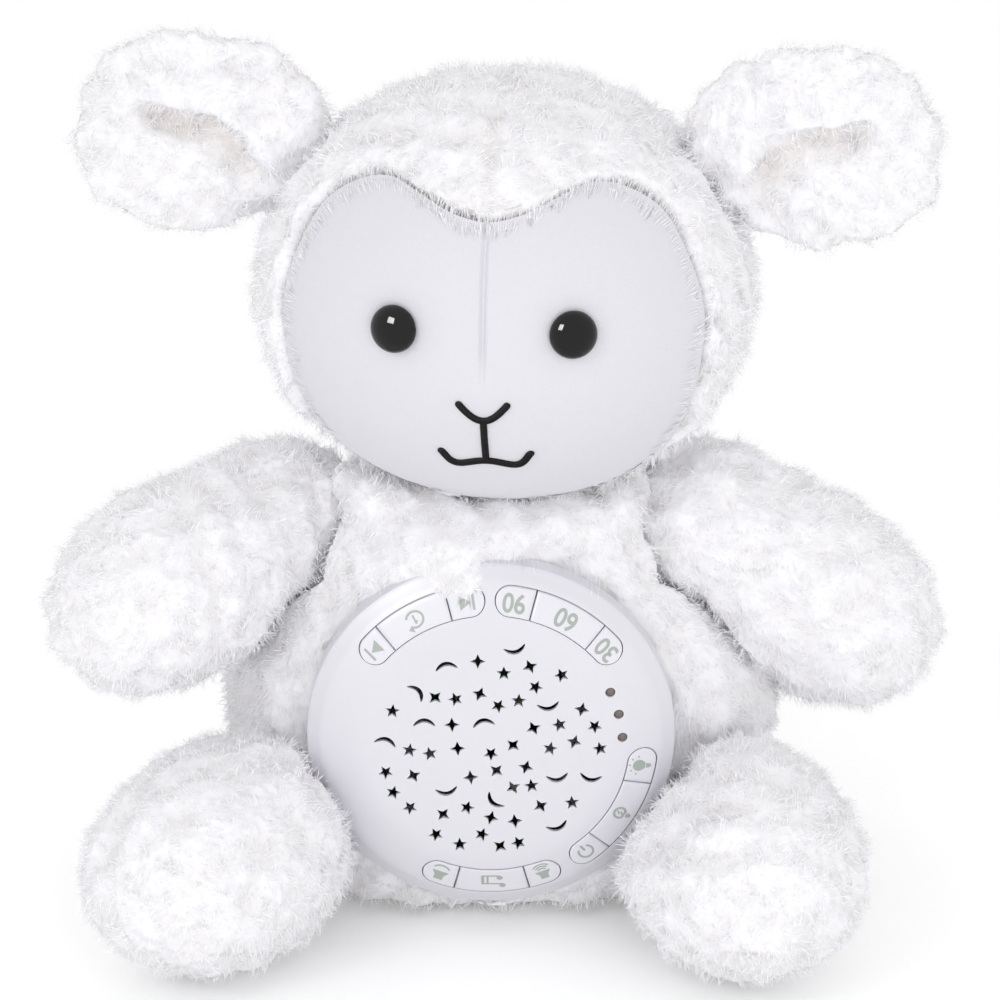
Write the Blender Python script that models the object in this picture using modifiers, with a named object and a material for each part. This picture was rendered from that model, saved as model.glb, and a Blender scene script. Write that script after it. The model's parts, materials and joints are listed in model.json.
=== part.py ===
"""A sitting plush lamb with a round star light and sound module in its belly.

Lengths are metres and +Z is up. The lamb faces -Y and sits on the floor, z = 0. The origin is the
middle of the flat patch under its torso. Left and right are the viewer's: left is -X.
The module is built round its own axis, with its rim at z = 0 and its face towards +Z, and is then
laid on its side so that the face looks out of the belly. The head is built round its own centre.
"""

import math

import bmesh
import bpy
from mathutils import Matrix, Vector

# Clearances
SOFT_GAP = 0.0003
PLASTIC_GAP = 0.0003
TURNING_GAP = 0.0008
FLOOR_CUT = 0.0005
OVERRUN = 0.004

# Torso
TORSO_HEIGHT = 0.151
TORSO_HALF_WIDTH = 0.082
TORSO_HALF_DEPTH = 0.0545
TORSO_SQUARENESS = 2.4
# Height, half width and half depth from the seat to the neck
TORSO_STATION_SHARES = (
    (0.0, 0.0, 0.0),
    (0.004, 0.62, 0.62),
    (0.03, 0.83, 0.84),
    (0.10, 0.95, 0.96),
    (0.22, 1.00, 1.00),
    (0.40, 1.00, 1.00),
    (0.57, 0.92, 0.94),
    (0.72, 0.80, 0.85),
    (0.85, 0.65, 0.74),
    (0.95, 0.42, 0.50),
    (1.0, 0.0, 0.0),
)

# Head
HEAD_HALF_WIDTH = 0.077
HEAD_HALF_DEPTH = 0.070
HEAD_HALF_HEIGHT = 0.067
HEAD_SINK = 0.024
HEAD_ASIDE = 0.0045
HEAD_FORWARD = 0.008
HEAD_YAW = math.radians(-6.0)
# Where, going down, the head starts to turn round, and where it is round
HEAD_ROUND_SHARES = (0.35, 0.85)

# Face panel: a velour piece sewn into the fur, so it lies deeper than the fur's ends
FUR_STEP = 0.0035
FACE_THICKNESS = 0.0022
FACE_BACK_SHARE = 0.05
# Across and up from the head's centre, for one half, from the hairline to the chin
FACE_OUTLINE_SHARES = (
    (0.0, 0.58),
    (0.22, 0.66),
    (0.47, 0.72),
    (0.68, 0.58),
    (0.80, 0.28),
    (0.82, -0.05),
    (0.78, -0.40),
    (0.62, -0.70),
    (0.35, -0.86),
    (0.0, -0.90),
)

# Eyes: domed plastic buttons on ribbed shanks, each held by a washer behind the cloth
EYE_RADIUS = 0.007
EYE_HEIGHT = 0.0052
EYE_EDGE = 0.0008
EYE_PLACE_SHARES = (0.345, 0.085)
SHANK_RADIUS = 0.002
SHANK_LENGTH = 0.013
WASHER_RADIUS = 0.0075
WASHER_THICKNESS = 0.0016
WASHER_DEPTH = 0.009

# Embroidered nose and mouth
STITCH_WIDTH = 0.0024
STITCH_RISE = 0.0010
NOSE_SHARES = ((-0.098, -0.222), (-0.050, -0.285), (0.0, -0.312), (0.050, -0.285), (0.098, -0.222))
STEM_SHARES = ((0.0, -0.312), (0.0, -0.525))
MOUTH_SHARES = (
    (-0.172, -0.492),
    (-0.140, -0.535),
    (-0.080, -0.553),
    (0.0, -0.525),
    (0.080, -0.553),
    (0.140, -0.535),
    (0.172, -0.492),
)

# Ears: cupped flaps on a seam at the side of the head
EAR_LENGTH = 0.067
EAR_HALF_HEIGHT = 0.0330
EAR_HALF_THICKNESS = 0.0085
EAR_ROOT_HALF_HEIGHT = 0.0185
EAR_ROOT_THICKNESS_SHARE = 0.88
EAR_CUP = 0.011
# How much further the upper rim folds forward than the lower one
EAR_FOLD_SHARE = 1.5
# How much of the ear, from its seam, the head makes room for
EAR_ROOM_SHARE = 0.30
EAR_SEAM_LEAN = math.radians(18.0)
EAR_SWING = math.radians(20.0)
EAR_ROOT_SHARES = (0.79, 0.0, 0.61)
# How far the ear's middle line leans back down along the seam as it goes out
EAR_DROOP_SHARE = 0.12
# Along the ear from its seam, half height and half thickness
EAR_STATION_SHARES = (
    (0.16, 0.84, 0.93),
    (0.32, 0.97, 1.0),
    (0.50, 1.0, 1.0),
    (0.68, 0.93, 0.97),
    (0.83, 0.80, 0.88),
    (0.94, 0.54, 0.66),
    (1.0, 0.0, 0.0),
)

# Arms: each turns in the shoulder on a round root
ARM_LENGTH = 0.087
ARM_RADIUS = 0.0325
ARM_ROOT_RADIUS = 0.027
ARM_SWELL_SHARE = 0.50
ARM_PIVOT_SHARES = (0.78, 0.0, 0.775)
# How far each arm hangs down and how far it points forward
LEFT_ARM_TURNS = (math.radians(15.0), math.radians(40.0))
RIGHT_ARM_TURNS = (math.radians(34.0), math.radians(4.0))
# How far each arm can be lifted
ARM_LIFT = math.radians(35.0)

# Legs
LEG_HALF_LENGTH = 0.054
LEG_HALF_WIDTH = 0.038
LEG_HALF_HEIGHT = 0.0352
LEG_TAPER_SHARE = 0.10
# Each leg's middle, across and forward of the torso, and how far the leg points outwards
LEFT_LEG_SHARES = (0.96, 1.20)
RIGHT_LEG_SHARES = (0.89, 1.20)
LEFT_LEG_SPREAD = math.radians(32.0)
RIGHT_LEG_SPREAD = math.radians(14.0)

# Module: the plastic disc and its case
COVER_RADIUS = 0.055
COVER_RISE = 0.011
COVER_WALL = 0.0021
COVER_SKIRT = 0.004
COVER_SKIRT_WALL = 0.0017
COVER_SHOULDER = 0.002
MODULE_HEIGHT_SHARE = 0.437
MODULE_FRONT = 0.046
# Radius and height of the cover's outer face
COVER_PROFILE_SHARES = (
    (0.0, 1.0),
    (0.68, 1.0),
    (0.735, 0.955),
    (0.93, 0.60),
    (0.98, 0.40),
    (1.0, 0.18),
)

# Case behind the cover
CASE_DEPTH = 0.034
CASE_WALL = 0.002
# How far in from the cover's rim the neck and the board's edge lie
NECK_STEP = 0.009
BOARD_STEP = 0.005
FLANGE_DEPTH = 0.005
BOARD_THICKNESS = 0.0016
BOARD_WIDTH = 0.015
BOARD_DEPTH = 0.001
BINDING_THICKNESS = 0.0033
BINDING_WIDTH = 0.0065

# Buttons: four bands, each cut into three keys
BAND_INNER_SHARE = 0.745
BAND_OUTER_SHARE = 0.91
KEY_PROUD = 0.00045
KEY_LIP = 0.0009
KEY_BASE = 0.0029
KEY_TRAVEL = 0.0008
# Each band's two ends, then its keys with their own ends, in degrees from the viewer's right
BANDS = (
    (
        92.0,
        145.0,
        (
            ("next_button", 92.0, 106.0),
            ("repeat_button", 106.0, 133.0),
            ("previous_button", 133.0, 145.0),
        ),
    ),
    (
        35.0,
        88.6,
        (
            ("timer_30_button", 35.0, 47.5),
            ("timer_60_button", 47.5, 74.0),
            ("timer_90_button", 74.0, 88.6),
        ),
    ),
    (
        -58.0,
        -2.0,
        (
            ("power_button", -58.0, -44.5),
            ("dim_button", -44.5, -16.5),
            ("bright_button", -16.5, -2.0),
        ),
    ),
    (
        -116.6,
        -63.0,
        (
            ("volume_down_button", -116.6, -103.0),
            ("song_button", -103.0, -76.5),
            ("volume_up_button", -76.5, -63.0),
        ),
    ),
)
SWITCH_SIDE = 0.0045
SWITCH_HEIGHT = 0.0018
PLUNGER_RADIUS = 0.0014

# Light windows beside the keys, and the openings that let the stars out
WINDOW_RADIUS = 0.0015
WINDOW_PLACE_SHARE = 0.712
WINDOW_BEVEL_SHARE = 0.3
WINDOW_ANGLES = (3.5, 14.5, 25.5)
STAR_RADIUS = 0.0022
STAR_WAIST_SHARE = 0.42
SPARK_WAIST_SHARE = 0.36
STAR_TURN = 23.0
CRESCENT_LENGTH = 0.0058
CRESCENT_RISE = 0.0019
CRESCENT_THICKNESS = 0.0012
# Places across and up the disc
FIVE_POINT_SHARES = (
    (0.07, 0.42), (0.38, 0.41), (0.24, 0.34), (0.15, 0.26), (-0.19, 0.27), (0.04, 0.23),
    (-0.53, 0.20), (0.37, 0.12), (0.56, 0.11), (-0.44, -0.03), (-0.33, -0.05), (0.0, -0.05),
    (0.32, -0.02), (0.59, -0.02), (-0.57, -0.16), (-0.53, -0.28), (0.22, -0.24), (-0.44, -0.37),
    (-0.13, -0.37), (0.44, -0.34), (-0.30, -0.53), (-0.05, -0.53), (-0.17, -0.59), (0.15, -0.58),
)
FOUR_POINT_SHARES = (
    (-0.07, 0.49), (0.21, 0.46), (-0.30, 0.28), (-0.06, 0.30), (-0.21, 0.12), (0.23, 0.10),
    (0.12, 0.0), (0.45, 0.02), (-0.18, -0.02), (-0.42, -0.18), (0.03, -0.15), (0.19, -0.13),
    (-0.11, -0.19), (0.12, -0.25), (-0.26, -0.41), (0.0, -0.43), (0.13, -0.45), (0.27, -0.36),
    (0.05, -0.60), (0.49, 0.21),
)
# The places of the crescents, and by how many degrees each is turned from an arch
CRESCENT_SHARES = (
    (0.13, 0.56), (-0.24, 0.46), (-0.40, 0.31), (-0.36, 0.13), (-0.04, 0.13), (0.31, 0.23),
    (-0.57, 0.02), (0.36, -0.19), (0.54, -0.19), (-0.24, -0.27), (0.02, -0.33), (0.36, -0.48),
)
CRESCENT_TURNS = (195.0, 10.0, -50.0, 0.0, 10.0, 190.0, -15.0, 190.0, 170.0, 190.0, 135.0, 200.0)

# Screws that hold the case to the cover
SCREW_PLACE_SHARE = 0.665
SCREW_ANGLES = (90.0, 187.0, 353.0, 230.0, 318.0)
SCREW_RADIUS = 0.00135
SCREW_HEAD_RADIUS = 0.0027
SCREW_HEAD_HEIGHT = 0.0018
SCREW_REACH = 0.005
SCREW_SINK = 0.0004
BOSS_RADIUS = 0.0026
POST_RADIUS = 0.0038

# Light: a drum over a small board with three lamps
DRUM_RADIUS = 0.0205
DRUM_WALL = 0.0015
DRUM_UP = 0.011
LAMP_BOARD_OVERHANG = 0.001
LAMP_RADIUS = 0.0025
LAMP_HEIGHT = 0.008
LAMP_RING_RADIUS = 0.009
STANDOFF_HEIGHT = 0.002
STANDOFF_RADIUS = 0.002

# Speaker
SPEAKER_RADIUS = 0.014
SPEAKER_DOWN = 0.0294
SPEAKER_FLANGE = 0.001
SPEAKER_DEPTH = 0.0085
SPEAKER_WALL = 0.0008
SPEAKER_TOP = 0.0034
MAGNET_RADIUS = 0.008
MAGNET_HEIGHT = 0.007
SPEAKER_SEAT_WALL = 0.0014

# Batteries, their bay and its door
CELL_RADIUS = 0.00725
CELL_LENGTH = 0.0505
CELL_TIP = 0.0013
CELL_TIP_RADIUS = 0.00275
CELL_PITCH = 0.0155
CELL_COUNT = 3
BAY_UP = 0.008
BAY_END_SPACE = 0.002
BAY_SIDE_SPACE = 0.00055
BAY_WALL = 0.0018
CONTACT_THICKNESS = 0.0004
CONTACT_HALF_WIDTH = 0.0055
CONTACT_TIP_RADIUS = 0.0018
DOOR_TAB_LENGTH = 0.009
DOOR_TAB_HALF_WIDTH = 0.006
DOOR_TAB_THICKNESS = 0.0016
DOOR_SCREW_LENGTH = 0.0065

# How finely round shapes are divided
BODY_COLUMNS = 24
HEAD_RINGS = 14
LIMB_COLUMNS = 18
ARM_RINGS = 5
LEG_RINGS = 6
EAR_COLUMNS = 12
DOME_RINGS = 5
LAMP_RINGS = 3
BAND_STEP_DEGREES = 7.0
CAP_STEPS = 4
CRESCENT_STEPS = 3
DISC_STEPS = 36
SMALL_STEPS = 12
PIN_STEPS = 8

# Derived places and sizes
HEAD_CENTRE = Vector((HEAD_ASIDE, -HEAD_FORWARD, TORSO_HEIGHT - HEAD_SINK + HEAD_HALF_HEIGHT))
MODULE_PLACE = Vector((0.0, -MODULE_FRONT, MODULE_HEIGHT_SHARE * TORSO_HEIGHT))
BAND_INNER = BAND_INNER_SHARE * COVER_RADIUS
BAND_OUTER = BAND_OUTER_SHARE * COVER_RADIUS
NECK_RADIUS = COVER_RADIUS - NECK_STEP
BOARD_OUTER_RADIUS = COVER_RADIUS - BOARD_STEP
BOARD_INNER_RADIUS = BOARD_OUTER_RADIUS - BOARD_WIDTH
CASE_RADIUS = COVER_RADIUS - COVER_SKIRT_WALL - PLASTIC_GAP
SHOULDER_RADIUS = COVER_RADIUS - COVER_SKIRT_WALL - COVER_SHOULDER
BOARD_BOTTOM = -BOARD_DEPTH - BOARD_THICKNESS
CASE_LEDGE = BOARD_BOTTOM - PLASTIC_GAP
CASE_FLOOR = -CASE_DEPTH + CASE_WALL
CASE_INNER = NECK_RADIUS - CASE_WALL
CELL_Z = CASE_FLOOR + PLASTIC_GAP + CELL_RADIUS
BAY_CEILING = CELL_Z + CELL_RADIUS + PLASTIC_GAP
BAY_HALF_LENGTH = CELL_LENGTH / 2 + BAY_END_SPACE
BAY_HALF_WIDTH = CELL_PITCH * (CELL_COUNT - 1) / 2 + CELL_RADIUS + BAY_SIDE_SPACE
LAMP_BOARD_BOTTOM = BAY_CEILING + BAY_WALL + STANDOFF_HEIGHT + PLASTIC_GAP
LAMP_BOARD_TOP = LAMP_BOARD_BOTTOM + BOARD_THICKNESS
COVER_UNDERSIDE = COVER_RISE - COVER_WALL
SCREW_CIRCLE = SCREW_PLACE_SHARE * COVER_RADIUS
SCREW_BORE = SCREW_RADIUS + PLASTIC_GAP
SPEAKER_SEAT_TOP = -SPEAKER_TOP - SPEAKER_FLANGE - PLASTIC_GAP

# Colour, roughness and metallic of each finish
FINISHES = {
    "fur": ((0.87, 0.86, 0.89), 0.95, 0.0),
    "velour": ((0.80, 0.80, 0.83), 0.90, 0.0),
    "eye_plastic": ((0.010, 0.010, 0.011), 0.08, 0.0),
    "washer_plastic": ((0.70, 0.70, 0.68), 0.50, 0.0),
    "thread": ((0.018, 0.015, 0.016), 0.60, 0.0),
    "binding": ((0.80, 0.80, 0.83), 0.90, 0.0),
    "cover_plastic": ((0.80, 0.79, 0.84), 0.35, 0.0),
    "case_plastic": ((0.72, 0.72, 0.74), 0.45, 0.0),
    "board": ((0.05, 0.22, 0.10), 0.45, 0.0),
    "lamp": ((0.85, 0.80, 0.62), 0.15, 0.0),
    "window": ((0.20, 0.16, 0.13), 0.25, 0.0),
    "drum": ((0.015, 0.015, 0.016), 0.55, 0.0),
    "steel": ((0.56, 0.56, 0.55), 0.35, 1.0),
    "paper_cone": ((0.03, 0.03, 0.03), 0.85, 0.0),
    "ferrite": ((0.05, 0.05, 0.05), 0.60, 0.0),
    "cell": ((0.12, 0.14, 0.18), 0.35, 0.6),
}


def clear_scene():
    """Empties the scene and makes the two collections."""
    for old in list(bpy.data.objects):
        bpy.data.objects.remove(old)
    made = []
    for name in ("plush_night_light", "cutters"):
        collection = bpy.data.collections.new(name)
        bpy.context.scene.collection.children.link(collection)
        made.append(collection)
    return made


PARTS, CUTTERS = clear_scene()


def frame(name, place, turn):
    """An empty that the pieces of one group are parented to."""
    empty = bpy.data.objects.new(name, None)
    PARTS.objects.link(empty)
    empty.location = place
    empty.rotation_euler = turn
    return empty


# What is drawn across and up stands upright and faces -Y
UPRIGHT = (math.radians(90.0), 0.0, 0.0)
MODULE_FRAME = frame("module_frame", MODULE_PLACE, UPRIGHT)
HEAD_FRAME = frame("head_frame", HEAD_CENTRE, (0.0, 0.0, HEAD_YAW))
LOOSE_IN_MODULE = dict(parent=MODULE_FRAME, cutter=True)


def placed(name, mesh, parent=None, place=(0.0, 0.0, 0.0), turn=(0.0, 0.0, 0.0), cutter=False):
    """Links a mesh as an object, as a part or as a cutter."""
    piece = bpy.data.objects.new(name, mesh)
    (CUTTERS if cutter else PARTS).objects.link(piece)
    piece.parent = parent
    piece.location = place
    piece.rotation_euler = turn
    if cutter:
        piece.hide_render = True
        piece.display_type = "WIRE"
    return piece


def settled(piece):
    """Makes the piece's modifiers part of its mesh."""
    depsgraph = bpy.context.evaluated_depsgraph_get()
    mesh = bpy.data.meshes.new_from_object(piece.evaluated_get(depsgraph))
    piece.modifiers.clear()
    piece.data = mesh
    return piece


def combined(piece, other, operation):
    """Cuts, joins or intersects a piece with another solid."""
    boolean = piece.modifiers.new(operation.lower(), "BOOLEAN")
    boolean.operation = operation
    boolean.solver = "EXACT"
    boolean.object = other
    return settled(piece)


def cut(piece, *others):
    for other in others:
        combined(piece, other, "DIFFERENCE")
    return piece


def joined(piece, *others):
    for other in others:
        combined(piece, other, "UNION")
    return piece


def kept_inside(piece, other):
    return combined(piece, other, "INTERSECT")


def finished(piece, finish, sharp=30.0):
    """Gives a piece its material and its shading."""
    colour, roughness, metallic = FINISHES[finish]
    material = bpy.data.materials.new(piece.name + "_" + finish)
    material.use_nodes = True
    shader = material.node_tree.nodes["Principled BSDF"]
    shader.inputs["Base Color"].default_value = (*colour, 1.0)
    shader.inputs["Roughness"].default_value = roughness
    shader.inputs["Metallic"].default_value = metallic
    piece.data.materials.clear()
    piece.data.materials.append(material)
    piece.data.shade_smooth()
    piece.data.set_sharp_from_angle(angle=math.radians(sharp))
    return piece


def between(low, high, share):
    return low + (high - low) * share


def eased(share):
    """A share that starts and ends level."""
    share = max(0.0, min(1.0, share))
    return share * share * (3.0 - 2.0 * share)


def curved(points, spans, closed=False):
    """Points on a smooth curve through all the given ones, with spans steps from each to the next."""
    count = len(points)
    result = []
    for index in range(count if closed else count - 1):
        if closed:
            near = [points[(index + offset) % count] for offset in (-1, 0, 1, 2)]
        else:
            near = [points[min(max(index + offset, 0), count - 1)] for offset in (-1, 0, 1, 2)]
        for step in range(spans):
            share = step / spans
            result.append(
                tuple(
                    0.5
                    * (
                        2.0 * b
                        + (c - a) * share
                        + (2.0 * a - 5.0 * b + 4.0 * c - d) * share**2
                        + (3.0 * b - a - 3.0 * c + d) * share**3
                    )
                    for a, b, c, d in zip(*near)
                )
            )
    if not closed:
        result.append(tuple(points[-1]))
    return result


def lofted(name, columns, rows, shape=None, squareness=2.0, **how):
    """A closed soft form: a ball whose rings take the heights, half widths and half depths in rows."""
    bm = bmesh.new()
    rings = len(rows) - 1
    bmesh.ops.create_uvsphere(bm, u_segments=columns, v_segments=rings, radius=1.0)
    for vert in bm.verts:
        fall = math.acos(max(-1.0, min(1.0, vert.co.z)))
        height, half_width, half_depth = rows[rings - round(fall / math.pi * rings)]
        angle = math.atan2(vert.co.y, vert.co.x)
        across = math.copysign(abs(math.cos(angle)) ** (2.0 / squareness), math.cos(angle))
        along = math.copysign(abs(math.sin(angle)) ** (2.0 / squareness), math.sin(angle))
        vert.co = (half_width * across, half_depth * along, height)
        if shape:
            vert.co = shape(*vert.co)
    if bm.calc_volume(signed=True) < 0.0:
        bmesh.ops.reverse_faces(bm, faces=bm.faces)
    mesh = bpy.data.meshes.new(name)
    bm.to_mesh(mesh)
    bm.free()
    return placed(name, mesh, **how)


def turned(name, profile, steps=DISC_STEPS, loop=False, **how):
    """A turned solid. The profile's radii and heights run down its outer side."""
    mesh = bpy.data.meshes.new(name)
    edges = [(index, index + 1) for index in range(len(profile) - 1)]
    if loop:
        edges.append((len(profile) - 1, 0))
    mesh.from_pydata([(radius, 0.0, height) for radius, height in profile], edges, [])
    piece = placed(name, mesh, **how)
    screw = piece.modifiers.new("turn", "SCREW")
    screw.axis = "Z"
    screw.steps = steps
    screw.render_steps = steps
    screw.use_merge_vertices = True
    screw.merge_threshold = 0.00001
    return settled(piece)


def plates(name, outlines, low, high, **how):
    """Flat plates from low to high, one for each outline."""
    curve = bpy.data.curves.new(name + "_outline", "CURVE")
    curve.dimensions = "2D"
    curve.fill_mode = "BOTH"
    curve.extrude = (high - low) / 2
    for outline in outlines:
        spline = curve.splines.new("POLY")
        spline.points.add(len(outline) - 1)
        for point, (x, y) in zip(spline.points, outline):
            point.co = (x, y, 0.0, 1.0)
        spline.use_cyclic_u = True
    drawn = bpy.data.objects.new(name + "_outline", curve)
    CUTTERS.objects.link(drawn)
    depsgraph = bpy.context.evaluated_depsgraph_get()
    mesh = bpy.data.meshes.new_from_object(drawn.evaluated_get(depsgraph))
    bpy.data.objects.remove(drawn)
    bm = bmesh.new()
    bm.from_mesh(mesh)
    bmesh.ops.remove_doubles(bm, verts=bm.verts, dist=0.00001)
    bmesh.ops.translate(bm, verts=bm.verts, vec=(0.0, 0.0, (low + high) / 2))
    bmesh.ops.recalc_face_normals(bm, faces=bm.faces)
    bm.to_mesh(mesh)
    bm.free()
    mesh.name = name
    return placed(name, mesh, **how)


def rods(name, places, radius, low, high, sides=PIN_STEPS, **how):
    """Upright round rods of one size, one at each place."""
    bm = bmesh.new()
    for x, y in places:
        bmesh.ops.create_cone(
            bm,
            cap_ends=True,
            segments=sides,
            radius1=radius,
            radius2=radius,
            depth=high - low,
            matrix=Matrix.Translation((x, y, (low + high) / 2)),
        )
    mesh = bpy.data.meshes.new(name)
    bm.to_mesh(mesh)
    bm.free()
    return placed(name, mesh, **how)


def block(name, low, high, **how):
    """A box between two corners."""
    bm = bmesh.new()
    bmesh.ops.create_cube(bm, size=1.0)
    for vert in bm.verts:
        vert.co = [between(a, b, share + 0.5) for a, b, share in zip(low, high, vert.co)]
    mesh = bpy.data.meshes.new(name)
    bm.to_mesh(mesh)
    bm.free()
    return placed(name, mesh, **how)


def polar(radius, degrees):
    return radius * math.cos(math.radians(degrees)), radius * math.sin(math.radians(degrees))


# Soft forms


def torso_form(name, grow=0.0, **how):
    """The torso's whole form, or one that lies grow outside it."""
    rise = TORSO_HEIGHT + FLOOR_CUT
    rows = []
    for height, width, depth in curved(TORSO_STATION_SHARES, 2):
        level = height * rise - FLOOR_CUT
        if width == 0.0:
            rows.append((level + grow if height else level, 0.0, 0.0))
        else:
            rows.append((level, width * TORSO_HALF_WIDTH + grow, depth * TORSO_HALF_DEPTH + grow))
    return lofted(name, BODY_COLUMNS, rows, squareness=TORSO_SQUARENESS, **how)


def head_sizes(lean, grow):
    """The head's half width and half depth at a level, from lean -1 at its foot to 1 at its top."""
    start, end = HEAD_ROUND_SHARES
    round_share = eased((-lean - start) / (end - start))
    middle = (HEAD_HALF_WIDTH + HEAD_HALF_DEPTH) / 2
    return (
        between(HEAD_HALF_WIDTH, middle, round_share) + grow,
        between(HEAD_HALF_DEPTH, middle, round_share) + grow,
    )


def arc(radius, steps):
    """Heights and half widths of a quarter turn, from its pole to its widest ring."""
    turns = [math.pi / 2 * step / steps for step in range(steps + 1)]
    return [(-radius * math.cos(turn), radius * math.sin(turn)) for turn in turns]


def head_form(name, grow=0.0, **how):
    """The head's form, or one that lies grow outside it."""
    quarter = arc(1.0, HEAD_RINGS // 2)
    rows = []
    for lean, level in quarter + [(-lean, level) for lean, level in quarter[-2::-1]]:
        half_width, half_depth = head_sizes(lean, grow)
        rows.append((lean * (HEAD_HALF_HEIGHT + grow), half_width * level, half_depth * level))
    return lofted(name, BODY_COLUMNS, rows, parent=HEAD_FRAME, **how)


def head_room():
    """What the head sweeps as it turns, below its widest level."""
    profile = [
        (max(head_sizes(lean, TURNING_GAP)) * level, lean * (HEAD_HALF_HEIGHT + TURNING_GAP))
        for lean, level in arc(1.0, HEAD_RINGS // 2)
    ]
    profile.append((0.0, profile[-1][1]))
    return turned("head_room", profile[::-1], steps=BODY_COLUMNS, parent=HEAD_FRAME, cutter=True)


def shoulder(side):
    across, forward, up = ARM_PIVOT_SHARES
    return Vector((side * across * TORSO_HALF_WIDTH, -forward * TORSO_HALF_DEPTH, up * TORSO_HEIGHT))


def shoulder_ball(name, side, grow):
    """The round root of an arm, grown by a clearance."""
    quarter = arc(ARM_ROOT_RADIUS + grow, ARM_RINGS)
    rows = quarter + [(-height, level) for height, level in quarter[-2::-1]]
    rows = [(height, level, level) for height, level in rows]
    return lofted(name, LIMB_COLUMNS, rows, place=shoulder(side), cutter=True)


def make_torso():
    """The torso, with a bowl for the head, sockets for the arms and a pocket for the module."""
    torso = torso_form("torso")
    reach = TORSO_HALF_WIDTH + OVERRUN
    floor = block("floor", (-reach, -reach, -FLOOR_CUT - OVERRUN), (reach, reach, 0.0), cutter=True)
    sockets = [shoulder_ball("arm_socket", side, TURNING_GAP) for side in (-1, 1)]
    binding_seat = -FLANGE_DEPTH - BINDING_THICKNESS - 2 * SOFT_GAP
    disc_room = COVER_RADIUS + SOFT_GAP
    neck_room = NECK_RADIUS + SOFT_GAP
    pocket = turned(
        "module_pocket",
        (
            (0.0, COVER_RISE + OVERRUN),
            (disc_room, COVER_RISE + OVERRUN),
            (disc_room, binding_seat),
            (neck_room, binding_seat),
            (neck_room, -CASE_DEPTH - SOFT_GAP),
            (0.0, -CASE_DEPTH - SOFT_GAP),
        ),
        parent=MODULE_FRAME,
        cutter=True,
    )
    cut(torso, floor, head_room(), *sockets, pocket)
    finished(torso, "fur")


def make_arm(name, side, turns):
    """An arm: its round root turns in the torso's socket, and the rest clears the torso as it lifts."""
    droop, forward = turns
    widest = ARM_SWELL_SHARE * ARM_LENGTH
    rows = arc(ARM_ROOT_RADIUS, ARM_RINGS)
    for step in range(1, ARM_RINGS // 2 + 1):
        share = 2 * step / ARM_RINGS
        rows.append((share * widest, between(ARM_ROOT_RADIUS, ARM_RADIUS, eased(share))))
    for height, level in arc(1.0, ARM_RINGS)[-2::-1]:
        rows.append((widest - height * (ARM_LENGTH - widest), level * ARM_RADIUS))
    level_reach = math.cos(droop)
    direction = Vector(
        (
            side * math.cos(forward) * level_reach,
            -math.sin(forward) * level_reach,
            -math.sin(droop),
        )
    )
    arm = lofted(
        name,
        LIMB_COLUMNS,
        [(height, level, level) for height, level in rows],
        place=shoulder(side),
        turn=direction.to_track_quat("Z", "Y").to_euler(),
    )
    for share in (0.0, 0.5, 1.0):
        lift = Matrix.Rotation(side * share * ARM_LIFT, 3, "Y")
        place = shoulder(side) - lift @ shoulder(side)
        cut(arm, torso_form(name + "_side", SOFT_GAP, place=place, turn=lift.to_euler(), cutter=True))
    joined(arm, shoulder_ball(name + "_root", side, -SOFT_GAP))
    finished(arm, "fur")


def make_leg(name, side, shares, spread):
    """A leg: an egg with its thick end out, cut to the torso, the floor and the disc's edge."""
    across, forward = shares
    quarter = arc(1.0, LEG_RINGS)
    rows = []
    for height, level in quarter + [(-height, level) for height, level in quarter[-2::-1]]:
        swell = level * (1.0 + LEG_TAPER_SHARE * height)
        rows.append((height * LEG_HALF_LENGTH, swell * LEG_HALF_WIDTH, level * LEG_HALF_HEIGHT))
    direction = Vector((side * math.sin(spread), -math.cos(spread), 0.0))
    leg = lofted(
        name,
        LIMB_COLUMNS,
        rows,
        place=Vector(
            (
                side * across * TORSO_HALF_WIDTH,
                -forward * TORSO_HALF_DEPTH,
                LEG_HALF_HEIGHT - FLOOR_CUT,
            )
        ),
        turn=direction.to_track_quat("Z", "Y").to_euler(),
    )
    reach = 2 * (LEG_HALF_LENGTH + LEG_HALF_WIDTH) + TORSO_HALF_WIDTH
    floor = block("leg_floor", (-reach, -reach, -FLOOR_CUT - OVERRUN), (reach, reach, 0.0), cutter=True)
    disc_room = turned(
        "disc_room",
        (
            (0.0, COVER_RISE + 2 * SOFT_GAP),
            (COVER_RADIUS + 2 * SOFT_GAP, COVER_RISE + 2 * SOFT_GAP),
            (COVER_RADIUS + 2 * SOFT_GAP, -CASE_DEPTH),
            (0.0, -CASE_DEPTH),
        ),
        parent=MODULE_FRAME,
        cutter=True,
    )
    cut(leg, torso_form(name + "_side", SOFT_GAP, cutter=True), floor, disc_room)
    finished(leg, "fur")


# Head


def face_prism(name, grow, **how):
    """The face's outline, carried forward through the front of the head."""
    half = FACE_OUTLINE_SHARES
    outline = list(half) + [(-across, up) for across, up in half[-2:0:-1]]
    swell = 1.0 + grow / (half[0][1] * HEAD_HALF_HEIGHT)
    points = [
        (across * HEAD_HALF_WIDTH * swell, up * HEAD_HALF_HEIGHT * swell)
        for across, up in curved(outline, 2, closed=True)
    ]
    return plates(
        name,
        [points],
        FACE_BACK_SHARE * HEAD_HALF_DEPTH,
        HEAD_HALF_DEPTH + OVERRUN,
        parent=HEAD_FRAME,
        turn=UPRIGHT,
        cutter=True,
        **how,
    )


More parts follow.
